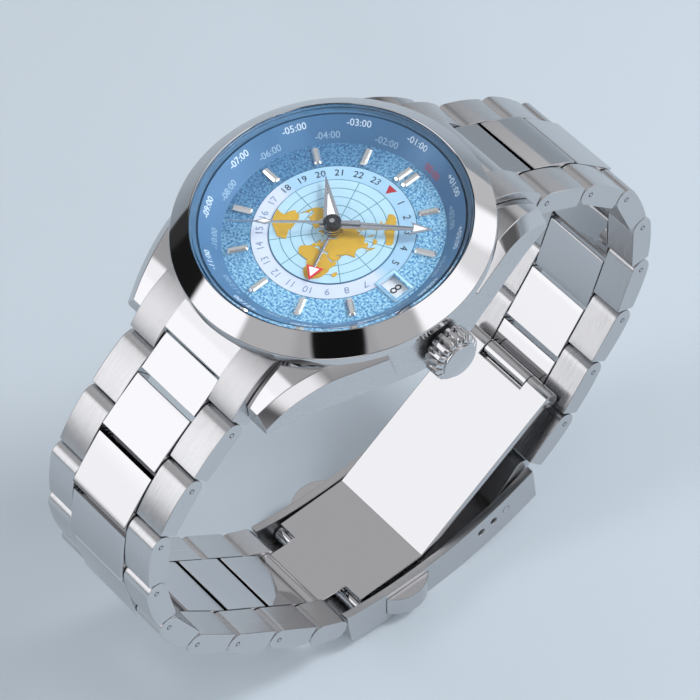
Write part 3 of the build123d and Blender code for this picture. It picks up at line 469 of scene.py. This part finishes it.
# Bracelet. Each link is a mirror-polished centre between two outers brushed along the bracelet,
# with softened edges and bowed tops, and turns on a pin whose ends show in the outers' sides;
# a near-black disc round each pin end is painted shade for the shadow inside the pin's hole.
link_thickness = 3.2
outer_end = 6.75
centre_half = 5.2
tongue_half = 5.12
bracelet_half = 10.0
centre_start = 1.8
tongue_end = 9.6
centre_top = link_thickness / 2 + 0.08
outer_bow, centre_bow = 0.34, 0.08
link_bevel = 0.14
pin_radius, pin_shade_radius, pin_end_radius = 0.6, 0.36, 0.24
outer_steel = brushed("outer_link_steel", (170, 1.5, 1.5), 0.25, 0.14)
link_shine = paint("centre_link_steel", steel_colour, 0.02, 0.06, 1.0, 130)
# A near-black paint for the painted shade in each pin hole.
pin_hole_shade = paint("pin_hole_shade", (0.03, 0.03, 0.035), 0.5, 0.6)
pivot_place = {joint["name"]: Vector(joint["pos_m"]) for joint in frame["joints"] if joint.get("pos_m")}


def slab(bm, low, high, near, far, matrix, material, bow, rounded=None):
    """A block from low to high corners along and out of the bracelet, between near and far across it.

    Its outward face drops by bow at both ends, and the two edges at its start are rounded to a
    radius if one is given.
    """
    before = set(bm.verts)
    corners = [bm.verts.new((across * MM, reach * MM, out * MM)) for across, reach, out in (
        (near, low[0], low[1]), (near, high[0], low[1]), (near, high[0], high[1]), (near, low[0], high[1]))]
    grown = bmesh.ops.extrude_face_region(bm, geom=[bm.faces.new(corners)])
    moved = [item for item in grown["geom"] if isinstance(item, bmesh.types.BMVert)]
    bmesh.ops.translate(bm, verts=moved, vec=((far - near) * MM, 0, 0))
    if rounded:
        start = [edge for edge in bm.edges if edge.verts[0] not in before and all(
            abs(vert.co.y - low[0] * MM) < 1e-9 for vert in edge.verts)
            and abs(edge.verts[0].co.x - edge.verts[1].co.x) > 1e-6]
        round_edges(bm, start, rounded, 8, clamp=True)
    sharp = [edge for edge in sharp_edges(bm, 0.7) if edge.verts[0] not in before]
    round_edges(bm, sharp, link_bevel, clamp=True)
    middle, half_run = (low[0] + high[0]) / 2, (high[0] - low[0]) / 2
    for step in range(1, 8):
        faces = [face for face in bm.faces if all(vert not in before for vert in face.verts)]
        parts = {part for face in faces for part in (*face.edges, *face.verts)}
        bmesh.ops.bisect_plane(bm, geom=faces + list(parts), dist=1e-7, plane_no=(0, 1, 0),
                               plane_co=(0, (low[0] + half_run * step / 4) * MM, 0))
    for vert in bm.verts:
        if vert not in before and vert.co.z > 0:
            vert.co.z *= 1 - bow / high[1] * ((vert.co.y / MM - middle) / half_run) ** 2
    for face in bm.faces:
        if all(vert not in before for vert in face.verts):
            face.material_index = material
    bmesh.ops.transform(bm, matrix=matrix, verts=[vert for vert in bm.verts if vert not in before])


def rod(bm, half_length, radius, matrix, material, segments):
    """A round pin across the bracelet at a link's start."""
    before = set(bm.verts)
    turn = Matrix.Rotation(math.pi / 2, 4, "Y")
    bmesh.ops.create_cone(bm, cap_ends=True, segments=segments, radius1=radius * MM, radius2=radius * MM,
                          depth=2 * half_length * MM, matrix=matrix @ turn)
    for face in bm.faces:
        if all(vert not in before for vert in face.verts):
            face.material_index = material


def full_link(name, start, end, side, body):
    """One full link from its own pivot to the next one, in place of its CAD node."""
    along = (end - start).normalized()
    out = Vector((side, 0, 0)).cross(along)
    across = along.cross(out)
    matrix = Matrix.Translation(start) @ Matrix((across, along, out)).transposed().to_4x4()
    half = link_thickness / 2
    bm = bmesh.new()
    for near, far in ((-bracelet_half, -centre_half), (centre_half, bracelet_half)):
        slab(bm, (-half, -half), (outer_end, half), near, far, matrix, 0, outer_bow, half - 0.01)
    slab(bm, (centre_start, -half), (tongue_end, centre_top), -tongue_half, tongue_half, matrix, 1,
         centre_bow)
    rod(bm, centre_half + 0.1, pin_radius, matrix, 1, 32)
    # Painted shade: this near-black disc round the pin end stands for the shadow inside the pin's hole.
    rod(bm, bracelet_half + 0.01, pin_shade_radius, matrix, 2, 16)
    rod(bm, bracelet_half + 0.02, pin_end_radius, matrix, 1, 16)
    finish_piece(bm, name, body, [outer_steel, link_shine, pin_hole_shade], [body], 0.6)


for side, hour in ((1, 12), (-1, 6)):
    for number in range(1, 9):
        start = pivot_place[f"pivot_{hour}_{number}"]
        after = "connector_pivot" if (hour, number) == (12, 8) else f"pivot_{hour}_{number + 1}"
        full_link(f"bracelet_link_{hour}_{number}", start, pivot_place[after], side, f"link_{hour}_{number}")


def softened(node_name, name, body, finish, width):
    """Stands for a CAD node with its own shape and its sharp edges rounded by a width in millimetres."""
    bm = cad_copy(node_name)
    round_edges(bm, sharp_edges(bm), width)
    finish_piece(bm, name, body, [finish], [node_name], 0.6)


last_steel = brushed("end_piece_steel", (170, 1.5, 1.5), 0.30, 0.14)
softened("link_6_9", "bracelet_link_6_9", "link_6_9", last_steel, 0.1)
softened("clasp_connector", "connector_link", "connector", last_steel, 0.1)

# End links. Solid steel pieces fill the gap between the lugs, held by the spring bars: brushed
# horns stand each side of a polished bowed middle.
end_steel = brushed("end_link_steel", (170, 1.5, 1.5), 0.30, 0.14)
end_tree = end_steel.node_tree
end_where = end_tree.nodes.new("ShaderNodeTexCoord")
end_split = end_tree.nodes.new("ShaderNodeSeparateXYZ")
end_tree.links.new(end_where.outputs["Object"], end_split.inputs[0])
end_across = math_node(end_tree, "ABSOLUTE", end_split.outputs["X"])
polish_outside(end_steel, math_node(end_tree, "GREATER_THAN", end_across, centre_half * MM), 0.05)
for name in ("end_link_6", "end_link_12"):
    softened(name, f"finished_{name}", "head", end_steel, 0.12)

# Clasp. The cover is pressed steel brushed along its length, over two mirror-polished blades.
# A button at each side is pushed out by a spring, and a spring bar holds the connector.
blade_bevel = 0.12
cover_steel = brushed("clasp_cover_steel", (150, 1.5, 1.5), 0.3, 0.12)
softened("clasp_cover", "cover_wall", "cover", cover_steel, 0.15)
softened("clasp_leaf_1", "inner_blade", "leaf_1", polished, blade_bevel)
softened("clasp_leaf_2", "folding_blade", "leaf_2", polished, blade_bevel)
button_steel = brushed("button_steel", (150, 1.5, 1.5), 0.22, 0.1)
for side_name in ("crown_side", "far_side"):
    softened(f"pusher_{side_name}", f"button_{side_name}", f"pusher_{side_name}",
             button_steel, blade_bevel)
dress("clasp_spring_bar", polished)
dress("pusher_springs", brushed("spring_steel", (30, 2, 260), 0.26, 0.12))

# Dial. A brass disc lacquered in grained blue outside, with painted light that makes the blue darker towards
# half past nine and paler towards half past three, with a band for the 24 hours that is paler
# on its day half, and a raised pale field that carries the map's rings and spokes.
band_outer = 10.15
map_radius = 7.95
ring_step = 1.32
spoke_step, spoke_turn = math.radians(30), math.radians(4)
line_width = 0.10
band_rim, map_rim = 0.05, 0.07
hub_clear = 2.0
line_colour = (0.06, 0.20, 0.28)
dial_finish = bpy.data.materials.new("dial_lacquer")
dial_finish.use_nodes = True
dial_tree = dial_finish.node_tree
dial_shader = dial_tree.nodes["Principled BSDF"]
dial_where = dial_tree.nodes.new("ShaderNodeTexCoord")
dial_split = dial_tree.nodes.new("ShaderNodeSeparateXYZ")
dial_tree.links.new(dial_where.outputs["Object"], dial_split.inputs[0])
flat_x, flat_y = dial_split.outputs["X"], dial_split.outputs["Y"]
reach = math_node(dial_tree, "POWER", math_node(dial_tree, "ADD", math_node(
    dial_tree, "MULTIPLY", flat_x, flat_x), math_node(dial_tree, "MULTIPLY", flat_y, flat_y)), 0.5)
reach = math_node(dial_tree, "DIVIDE", reach, MM)


def tint(tree, mask, under, over):
    """Lays one colour over another where a mask is one."""
    mix = tree.nodes.new("ShaderNodeMix")
    mix.data_type = "RGBA"
    for slot, value in ((mix.inputs[0], mask), (mix.inputs[6], under), (mix.inputs[7], over)):
        if isinstance(value, tuple):
            slot.default_value = (*value, 1)
        else:
            tree.links.new(value, slot)
    return mix.outputs[2]


grains = dial_tree.nodes.new("ShaderNodeTexNoise")
grains.inputs["Scale"].default_value = 3400
grains.inputs["Detail"].default_value = 2
grains.inputs["Roughness"].default_value = 0.6
dial_tree.links.new(dial_where.outputs["Object"], grains.inputs["Vector"])
sparkle = math_node(dial_tree, "MULTIPLY_ADD", grains.outputs["Fac"], 4.2, -1.6, clamp=True)
# Painted light: both grain tones run from dark towards half past nine to pale towards half past three,
# standing for how the light falls across the dial.
painted_light_axis = math_node(dial_tree, "MULTIPLY_ADD", flat_y, -0.3, flat_x)
painted_light_sweep = dial_tree.nodes.new("ShaderNodeMapRange")
painted_light_sweep.interpolation_type = "SMOOTHSTEP"
painted_light_sweep.inputs["From Min"].default_value = -14 * MM
painted_light_sweep.inputs["From Max"].default_value = 7 * MM
dial_tree.links.new(painted_light_axis, painted_light_sweep.inputs["Value"])
deep = tint(dial_tree, painted_light_sweep.outputs["Result"], (0.020, 0.10, 0.24), (0.035, 0.25, 0.56))
bright = tint(dial_tree, painted_light_sweep.outputs["Result"], (0.10, 0.29, 0.50), (0.44, 0.78, 0.95))
grained = tint(dial_tree, sparkle, deep, bright)
in_band = math_node(dial_tree, "LESS_THAN", reach, band_outer)
in_map = math_node(dial_tree, "LESS_THAN", reach, map_radius + 0.02)
day_half = dial_tree.nodes.new("ShaderNodeMapRange")
day_half.inputs["From Min"].default_value = 0.9 * MM
day_half.inputs["From Max"].default_value = -0.9 * MM
dial_tree.links.new(flat_y, day_half.inputs["Value"])
band_colour = tint(dial_tree, day_half.outputs["Result"], (0.33, 0.55, 0.74), (0.58, 0.65, 0.79))
rings = math_node(dial_tree, "PINGPONG", reach, ring_step / 2)
on_ring = math_node(dial_tree, "LESS_THAN", rings, line_width / 2)
angle = math_node(dial_tree, "ADD", math_node(dial_tree, "ARCTAN2", flat_y, flat_x), spoke_turn)
spoke_gap = math_node(dial_tree, "MULTIPLY", math_node(dial_tree, "PINGPONG", angle, spoke_step / 2), reach)
on_spoke = math_node(dial_tree, "LESS_THAN", spoke_gap, line_width / 2)
on_line = math_node(dial_tree, "MAXIMUM", on_ring, on_spoke)
outside_hub = math_node(dial_tree, "GREATER_THAN", reach, hub_clear)
on_line = math_node(dial_tree, "MULTIPLY", on_line, outside_hub)
map_colour = tint(dial_tree, on_line, (0.40, 0.62, 0.76), line_colour)
rim_gap = math_node(dial_tree, "ABSOLUTE", math_node(dial_tree, "SUBTRACT", reach, band_outer))
map_gap = math_node(dial_tree, "ABSOLUTE", math_node(dial_tree, "SUBTRACT", reach, map_radius))
on_rim = math_node(dial_tree, "LESS_THAN", rim_gap, band_rim)
# The dark ring round the map's edge is partly a printed line and partly painted shade where the raised field
# steps down.
map_edge_ink_and_shade = math_node(dial_tree, "LESS_THAN", map_gap, map_rim)
colour = tint(dial_tree, in_band, grained, band_colour)
colour = tint(dial_tree, in_map, colour, map_colour)
colour = tint(dial_tree, on_rim, colour, (0.03, 0.12, 0.22))
colour = tint(dial_tree, map_edge_ink_and_shade, colour, (0.03, 0.14, 0.26))
dial_tree.links.new(colour, dial_shader.inputs["Base Color"])
dial_shader.inputs["Roughness"].default_value = 0.45
dial_shader.inputs["Specular IOR Level"].default_value = 0.3
outside_band = math_node(dial_tree, "SUBTRACT", 1.0, in_band)
dial_tree.links.new(math_node(dial_tree, "MULTIPLY", outside_band, 0.3), dial_shader.inputs["Metallic"])
dial_bump = dial_tree.nodes.new("ShaderNodeBump")
dial_bump.inputs["Strength"].default_value = 0.6
dial_bump.inputs["Distance"].default_value = 0.10 * MM
dial_tree.links.new(math_node(dial_tree, "MULTIPLY", grains.outputs["Fac"], outside_band),
                    dial_bump.inputs["Height"])
dial_tree.links.new(dial_bump.outputs[0], dial_shader.inputs["Normal"])
dress("dial", dial_finish)

# Window frame. A bevelled surround stands round the date window, stamped up from the dial and
# lacquered smooth in the dial's pale blue. Each tier is how far it spreads and how high it lies.
window_reach, window_long, window_wide = 11.45, 3.0, 2.2
frame_tiers = [(0.52, 7.41), (0.46, 7.62), (0.30, 7.66), (0.02, 7.42)]
bm = bmesh.new()
tier_edges = []
for spread, height in frame_tiers:
    tier = [bm.verts.new(((window_reach + side * (window_long / 2 + spread)) * MM,
                          end * (window_wide / 2 + spread) * MM, height * MM))
            for side, end in ((-1, -1), (1, -1), (1, 1), (-1, 1))]
    tier_edges.append([bm.edges.new((a, b)) for a, b in zip(tier, tier[1:] + tier[:1])])
for first, second in zip(tier_edges, tier_edges[1:] + tier_edges[:1]):
    bmesh.ops.bridge_loops(bm, edges=first + second)
finish_piece(bm, "window_frame", "head",
             [paint("frame_lacquer", (0.34, 0.58, 0.76), 0.2, 0.3, 0.3)])

# Map. Plated continents stand a little proud of the field, seen from above the north pole, with
# their longitudes turned so that Africa lies under the 24-hour hand's ten o'clock.
map_top = 7.52
map_margin = 0.15
land_height = 0.1
land_scale = 0.061
land_turn = 176
coasts = [
    [(-17, 15), (-16, 22), (-10, 30), (-5, 36), (10, 37), (20, 32), (32, 31), (35, 25), (39, 16),
     (43, 11), (51, 12), (48, 4), (41, -3), (40, -11), (36, -20), (32, -28), (26, -34), (19, -35),
     (15, -27), (12, -17), (13, -8), (9, 0), (9, 4), (0, 5), (-8, 4), (-13, 9)],
    [(-9, 37), (-9, 43), (-1, 44), (-4, 48), (3, 51), (8, 54), (8, 58), (5, 60), (12, 66), (22, 71),
     (30, 70), (40, 67), (45, 68), (55, 69), (68, 69), (75, 72), (90, 75), (104, 77), (115, 73),
     (130, 71), (142, 72), (160, 70), (170, 69), (180, 67), (172, 61), (163, 59), (162, 55), (157, 51),
     (156, 57), (150, 60), (140, 57), (136, 54), (141, 52), (133, 43), (128, 40), (129, 35), (126, 37),
     (122, 39), (119, 38), (122, 33), (121, 29), (116, 23), (109, 21), (106, 19), (109, 13), (105, 9),
     (101, 13), (102, 4), (100, 6), (98, 9), (98, 16), (92, 21), (87, 21), (80, 15), (78, 8), (73, 18),
     (68, 24), (60, 25), (57, 27), (51, 28), (48, 30), (54, 25), (59, 22), (55, 17), (45, 13), (43, 16),
     (37, 24), (34, 29), (35, 34), (36, 37), (30, 36), (27, 38), (24, 38), (22, 37), (19, 42), (14, 45),
     (17, 40), (15, 38), (10, 44), (3, 42), (0, 39), (-5, 36)],
    [(-168, 66), (-156, 71), (-140, 70), (-125, 70), (-110, 68), (-95, 69), (-85, 68), (-84, 63),
     (-94, 59), (-85, 55), (-79, 52), (-78, 60), (-70, 61), (-62, 56), (-56, 52), (-65, 48), (-70, 43),
     (-75, 38), (-81, 31), (-80, 26), (-84, 30), (-94, 29), (-97, 25), (-96, 19), (-88, 21), (-88, 16),
     (-83, 10), (-80, 8), (-87, 13), (-95, 16), (-105, 20), (-112, 27), (-117, 33), (-124, 40),
     (-124, 48), (-133, 56), (-145, 60), (-158, 57), (-165, 61)],
    [(-45, 60), (-52, 66), (-60, 76), (-45, 82), (-25, 82), (-20, 75), (-28, 69), (-40, 65)],
    [(-78, 8), (-72, 12), (-62, 10), (-52, 5), (-50, 0), (-36, -6), (-39, -14), (-41, -22), (-48, -27),
     (-56, -35), (-63, -38), (-73, -38), (-71, -30), (-70, -18), (-76, -14), (-81, -5), (-78, 2)],
    [(114, -22), (122, -18), (130, -12), (136, -12), (137, -16), (141, -13), (146, -19), (153, -26),
     (151, -34), (146, -38), (138, -35), (130, -32), (118, -35), (115, -33)],
    [(44, -18), (49, -13), (50, -18), (47, -25), (44, -23)],
    [(109, 2), (117, 6), (118, 2), (115, -4), (111, -3)],
    [(132, -1), (141, -3), (147, -7), (142, -9), (138, -6)],
    [(131, 33), (136, 37), (141, 43), (142, 38), (137, 35)],
    [(-5, 50), (1, 52), (-2, 56), (-5, 58), (-6, 54)],
    [(95, 6), (103, 1), (106, -6), (101, -2)],
    [(-23, 64), (-14, 65), (-16, 67), (-22, 66)],
    [(120, 18), (124, 12), (126, 7), (121, 13)],
]


def dial_point(reach, degrees, height):
    """A point at a reach and a clockwise angle from twelve o'clock, in metres."""
    turn = math.radians(degrees)
    return Vector((reach * math.sin(turn), reach * math.cos(turn), height)) * MM


def raise_region(bm, corners, height):
    """Adds a face on corners and raises it to a block of a height in millimetres."""
    raised = bmesh.ops.extrude_face_region(bm, geom=[bm.faces.new(corners)])
    bmesh.ops.translate(bm, verts=[item for item in raised["geom"] if isinstance(item, bmesh.types.BMVert)],
                        vec=(0, 0, height * MM))
    return raised["geom"]


bm = bmesh.new()
for coast in coasts:
    shore = [bm.verts.new(dial_point(min(land_scale * (90 - latitude), map_radius - map_margin),
                                     land_turn - longitude, map_top)) for longitude, latitude in coast]
    raise_region(bm, shore, land_height)
land_gold = paint("map_gold", (0.62, 0.38, 0.03), 0.38, 0.5, 0.2, 4000)
finish_piece(bm, "map_continents", "head", [land_gold])

# Numerals. The hours of the day are printed on the band in two inks, dark on its night half and
# grey blue on its day half, and a red triangle marks midnight.
print_lift = 0.01
hour_step = 15
numeral_size, numeral_reach = 1.35, 9.05
ink_thickness, triangle_thickness = 0.02, 0.03
triangle = [(9.6, -4.2), (9.6, 4.2), (8.35, 0)]


def letter_mesh(words, size, thickness, curve_steps):
    """Words as a mesh centred on the origin, at a size and thickness in millimetres."""
    text = bpy.data.curves.new("words", "FONT")
    text.body = words
    text.size = size * MM
    text.align_x = "CENTER"
    text.align_y = "CENTER"
    text.extrude = thickness * MM
    text.resolution_u = curve_steps
    holder = bpy.data.objects.new("words", text)
    scene.collection.objects.link(holder)
    bpy.context.view_layer.update()
    letters = bpy.data.meshes.new_from_object(holder.evaluated_get(bpy.context.evaluated_depsgraph_get()))
    bpy.data.objects.remove(holder)
    bpy.data.curves.remove(text)
    return letters


def wrapped(bm, words, size, degrees, reach, height, slope, material):
    """Adds words to a bmesh, bent round the dial's axis with their tops outward, on a cone of a slope."""
    letters = letter_mesh(words, size, ink_thickness, 3)
    rise, run = math.sin(slope), math.cos(slope)
    for vert in letters.vertices:
        x, y, z = vert.co / MM
        radius = reach + y * run - z * rise
        vert.co = dial_point(radius, degrees + math.degrees(x / reach), height + y * rise + z * run)
    start = len(bm.faces)
    bm.from_mesh(letters)
    bm.faces.ensure_lookup_table()
    for face in bm.faces[start:]:
        face.material_index = material
    bpy.data.meshes.remove(letters)


night_ink = paint("night_numeral_ink", (0.008, 0.02, 0.05), 0.4, 0.5)
day_ink = paint("day_numeral_ink", (0.18, 0.27, 0.42), 0.4, 0.5)
red_ink = paint("red_ink", (0.42, 0.008, 0.02), 0.4, 0.5)
bm = bmesh.new()
for hour in range(1, 24):
    ink = 0 if hour < 6 or hour > 17 else 1
    if hour != 6:
        wrapped(bm, str(hour), numeral_size, hour * hour_step, numeral_reach, dial_height + print_lift,
                0.0, ink)
finish_piece(bm, "hour_numerals", "head", [night_ink, day_ink])
bm = bmesh.new()
tip = [bm.verts.new(dial_point(out, degrees, dial_height + print_lift)) for out, degrees in triangle]
raise_region(bm, tip, triangle_thickness)
finish_piece(bm, "midnight_triangle", "head", [red_ink])

# Chapter ring. A satin blue slope with two rows of printed offsets from the zero meridian's time,
# the outer row in white and the inner one in grey blue, the zero itself in red.
dress("chapter_ring", paint("chapter_lacquer", (0.045, 0.155, 0.31), 0.30, 0.40, 0.2))
ring_foot = 13.75
ring_slope = math.radians(45.8)
outer_row, inner_row = 15.55, 14.45
offset_size = 1.25
outer_ink = paint("outer_row_ink", (0.62, 0.74, 0.84), 0.4, 0.5)
inner_ink = paint("inner_row_ink", (0.27, 0.42, 0.56), 0.4, 0.5)
bm = bmesh.new()
for zone in range(24):
    offset = zone if zone <= 12 else zone - 24
    words = f"{offset:+03d}:00" if offset else "00:00"
    row, ink = (outer_row, 0) if zone % 2 else (inner_row, 1)
    row_height = dial_height + (row - ring_foot) * math.tan(ring_slope)
    turn = (zone + 0.5) * hour_step
    wrapped(bm, words, offset_size, turn, row, row_height, ring_slope, ink if offset else 2)
finish_piece(bm, "offset_lettering", "head", [outer_ink, inner_ink, red_ink])

# Seat ring. A blue nylon ring closes the gap between the chapter ring and the bezel, and the
# crystal's rim lies on it.
seat_profile = [(16.52, 9.55), (17.29, 9.55), (17.29, 9.94), (16.52, 9.94)]
bm = bmesh.new()
turned(bm, seat_profile, 180)
finish_piece(bm, "crystal_seat", "head", [paint("seat_nylon", (0.05, 0.15, 0.28), 0.4, 0.5)],
             smooth_below=0.5)

# Hour markers. Polished steel batons with rounded ends and three long facets, riveted to the dial;
# a pair stands at twelve and the date window takes the place of three.
marker_reach = 11.85
pair_aside = 0.65
marker_wall, marker_facet, marker_rise = 0.28, 0.24, 0.2
marker_outline = [(0.26, -1.35), (0.47, -1.12), (0.47, 1.12), (0.26, 1.35), (-0.26, 1.35), (-0.47, 1.12),
                  (-0.47, -1.12), (-0.26, -1.35)]
baton_steel = paint("baton_steel", (0.88, 0.87, 0.84), 0.22, 0.30, 1.0, 400)
bm = bmesh.new()
for hour, aside in [(0, -pair_aside), (0, pair_aside)] + [(hour, 0) for hour in range(1, 12) if hour != 3]:
    before = set(bm.verts)
    foot = [bm.verts.new(((across + aside) * MM, (marker_reach + along) * MM, dial_height * MM))
            for across, along in marker_outline]
    grown = raise_region(bm, foot, marker_wall)
    crest = next(item for item in grown if isinstance(item, bmesh.types.BMFace))
    crest.normal_update()
    if crest.normal.z < 0:
        crest.normal_flip()
    bmesh.ops.inset_region(bm, faces=[crest], thickness=marker_facet * MM, depth=marker_rise * MM,
                           use_even_offset=True)
    turn_round = Matrix.Rotation(-math.radians(30 * hour), 3, "Z")
    whole = [vert for vert in bm.verts if vert not in before]
    bmesh.ops.rotate(bm, verts=whole, cent=(0, 0, 0), matrix=turn_round)
finish_piece(bm, "hour_batons", "head", [baton_steel], ["hour_markers"])

# Date ring. A white plastic ring turns under the dial, with a printed numeral for each day of
# the month; the eighth stands in the window.
dress("date_ring", paint("date_white", (0.80, 0.82, 0.84), 0.45, 0.55))
date_top = 6.8
date_size, date_thickness = 2.3, 0.01
one_digit, two_digits = 0.85, 0.62
bm = bmesh.new()
for day in range(1, 32):
    digits = letter_mesh(str(day), date_size, date_thickness, 4)
    swing_round = Matrix.Rotation(math.radians((day - 8) * 360 / 31), 4, "Z")
    narrow = Matrix.Diagonal((two_digits if day > 9 else one_digit, 1, 1, 1))
    in_window = Matrix.Translation(Vector((window_reach, 0, date_top + print_lift)) * MM)
    digits.transform(swing_round @ in_window @ narrow)
    bm.from_mesh(digits)
    bpy.data.meshes.remove(digits)
date_ink = paint("date_ink", (0.006, 0.006, 0.008), 0.4, 0.5)
finish_piece(bm, "date_numerals", "date", [date_ink])

# Movement. Plain quartz works in a brass plate, with a steel battery under its clip, which only
# show with the back off.
plate_brass = paint("movement_brass", (0.65, 0.5, 0.25), 0.3, 0.4, 1.0)
for name in ("movement_plate", "cannon_pinion", "hour_wheel", "gmt_wheel"):
    dress(name, plate_brass)
for name in ("battery", "battery_clip"):
    dress(name, polished)
dress("circuit_board", paint("board_green", (0.02, 0.15, 0.05)))
dress("coil", paint("coil_copper", (0.6, 0.25, 0.12), 0.3, 0.4, 1.0))

# Hands. Polished steel blades with a ridge along them and pale filling let into their windows,
# pressed on tubes one above the other under a dark glossy boss; the 24-hour hand ends in a
# white triangle edged in red.
hand_thickness = 0.2
hub_radius = 1.25
gmt_low, hour_low, minute_low, second_low = 7.92, 8.34, 8.76, 9.18
gmt_turn, hour_turn, minute_turn, second_turn = 151.5, 303.9, 48, 225
boss_radius, boss_low, boss_edge, boss_top, boss_dish = 1.1, 9.23, 9.5, 9.66, 9.56
post_radius, post_foot = 0.25, 6.4
cap_radius = 0.32
hand_steel = paint("hand_steel", (0.62, 0.63, 0.66), 0.14, 0.22, 1.0, 500)
pale_filling = paint("pale_filling", (0.86, 0.88, 0.90), 0.5, 0.6)
red_edge = paint("red_edge", (0.62, 0.012, 0.03), 0.3, 0.4)
boss_black = paint("boss_black", (0.035, 0.04, 0.05), 0.06, 0.12, 1.0)


def blade(bm, outline, base, degrees, thickness=hand_thickness, ridge=0.0, material=0):
    """Adds a flat blade from its outline, drawn pointing to twelve, with a ridge down its middle."""
    before = set(bm.verts)
    corners = [bm.verts.new((across * MM, along * MM, base * MM)) for across, along in outline]
    raise_region(bm, corners, thickness)
    if ridge:
        fresh = [vert for vert in bm.verts if vert not in before]
        parts = set(fresh)
        for vert in fresh:
            parts.update(vert.link_edges)
            parts.update(vert.link_faces)
        bmesh.ops.bisect_plane(bm, geom=list(parts), plane_co=(0, 0, 0), plane_no=(1, 0, 0), dist=1e-8)
        for vert in bm.verts:
            if vert not in before and abs(vert.co.x) < 1e-7 and vert.co.z > (base + thickness / 2) * MM:
                vert.co.z += ridge * MM
    fresh = [vert for vert in bm.verts if vert not in before]
    for face in bm.faces:
        if all(vert not in before for vert in face.verts):
            face.material_index = material
    bmesh.ops.rotate(bm, verts=fresh, cent=(0, 0, 0), matrix=Matrix.Rotation(-math.radians(degrees), 3, "Z"))


def hub(bm, radius, low, high):
    """Adds a round hub about the dial's axis."""
    bmesh.ops.create_cone(bm, cap_ends=True, segments=48, radius1=radius * MM, radius2=radius * MM,
                          depth=(high - low) * MM, matrix=Matrix.Translation((0, 0, (low + high) / 2 * MM)))


bm = bmesh.new()
blade(bm, [(-0.24, 0), (0.24, 0), (0.16, 6.2), (-0.16, 6.2)], gmt_low, gmt_turn, ridge=0.08)
blade(bm, [(-1.06, 6.05), (1.06, 6.05), (0, 8.12)], gmt_low, gmt_turn, thickness=0.16, material=1)
blade(bm, [(-0.66, 6.28), (0.66, 6.28), (0, 7.6)], gmt_low + 0.02, gmt_turn, thickness=0.18, material=2)
hub(bm, hub_radius, gmt_low, gmt_low + hand_thickness)
finish_piece(bm, "day_hand", "gmt", [hand_steel, red_edge, pale_filling], ["gmt_hand"])
bm = bmesh.new()
blade(bm, [(-0.75, -0.6), (0.75, -0.6), (1.02, 1.4), (0.07, 7.7), (-0.07, 7.7), (-1.02, 1.4)], hour_low,
      hour_turn, ridge=0.10)
blade(bm, [(-0.52, 1.5), (0.52, 1.5), (0.05, 4.9), (-0.05, 4.9)], hour_low + 0.1, hour_turn, thickness=0.22,
      material=1)
hub(bm, hub_radius, hour_low, hour_low + hand_thickness)
finish_piece(bm, "short_hand", "hour", [hand_steel, pale_filling], ["hour_hand"])
bm = bmesh.new()
blade(bm, [(-0.62, -1.6), (0.62, -1.6), (0.6, 1.0), (0.26, 9.9), (0.95, 9.5), (0, 12.3), (-0.95, 9.5),
           (-0.26, 9.9), (-0.6, 1.0)], minute_low, minute_turn, ridge=0.09)
blade(bm, [(-0.5, 9.95), (0.5, 9.95), (0, 11.6)], minute_low + 0.1, minute_turn, thickness=0.21, material=1)
hub(bm, hub_radius, minute_low, minute_low + hand_thickness)
finish_piece(bm, "long_hand", "minute", [hand_steel, pale_filling], ["minute_hand"])
bm = bmesh.new()
blade(bm, [(-0.32, -3.4), (0.32, -3.4), (0.18, -0.9), (0.12, 7.2), (0.4, 8.3), (0.08, 9.4), (0.04, 13.0),
           (-0.04, 13.0), (-0.08, 9.4), (-0.4, 8.3), (-0.12, 7.2), (-0.18, -0.9)], second_low, second_turn,
      ridge=0.04)
blade(bm, [(-0.24, 8.3), (0, 7.55), (0.24, 8.3), (0, 9.1)], second_low + 0.1, second_turn, thickness=0.16,
      material=1)
hub(bm, post_radius, post_foot, second_low)
turned(bm, [(0.0, boss_low), (boss_radius, boss_low), (boss_radius, boss_edge), (0.92, boss_top),
            (0.55, boss_top), (0.42, boss_dish), (0.0, boss_dish)], 48)
for face in bm.faces:
    inside = all(vert.co.xy.length < (boss_radius + 0.05) * MM for vert in face.verts)
    if inside and face.calc_center_median().z > (boss_low + 0.01) * MM:
        face.material_index = 2
hub(bm, cap_radius, boss_edge, boss_top)
finish_piece(bm, "sweep_hand", "second", [hand_steel, pale_filling, boss_black],
             ["second_hand"])
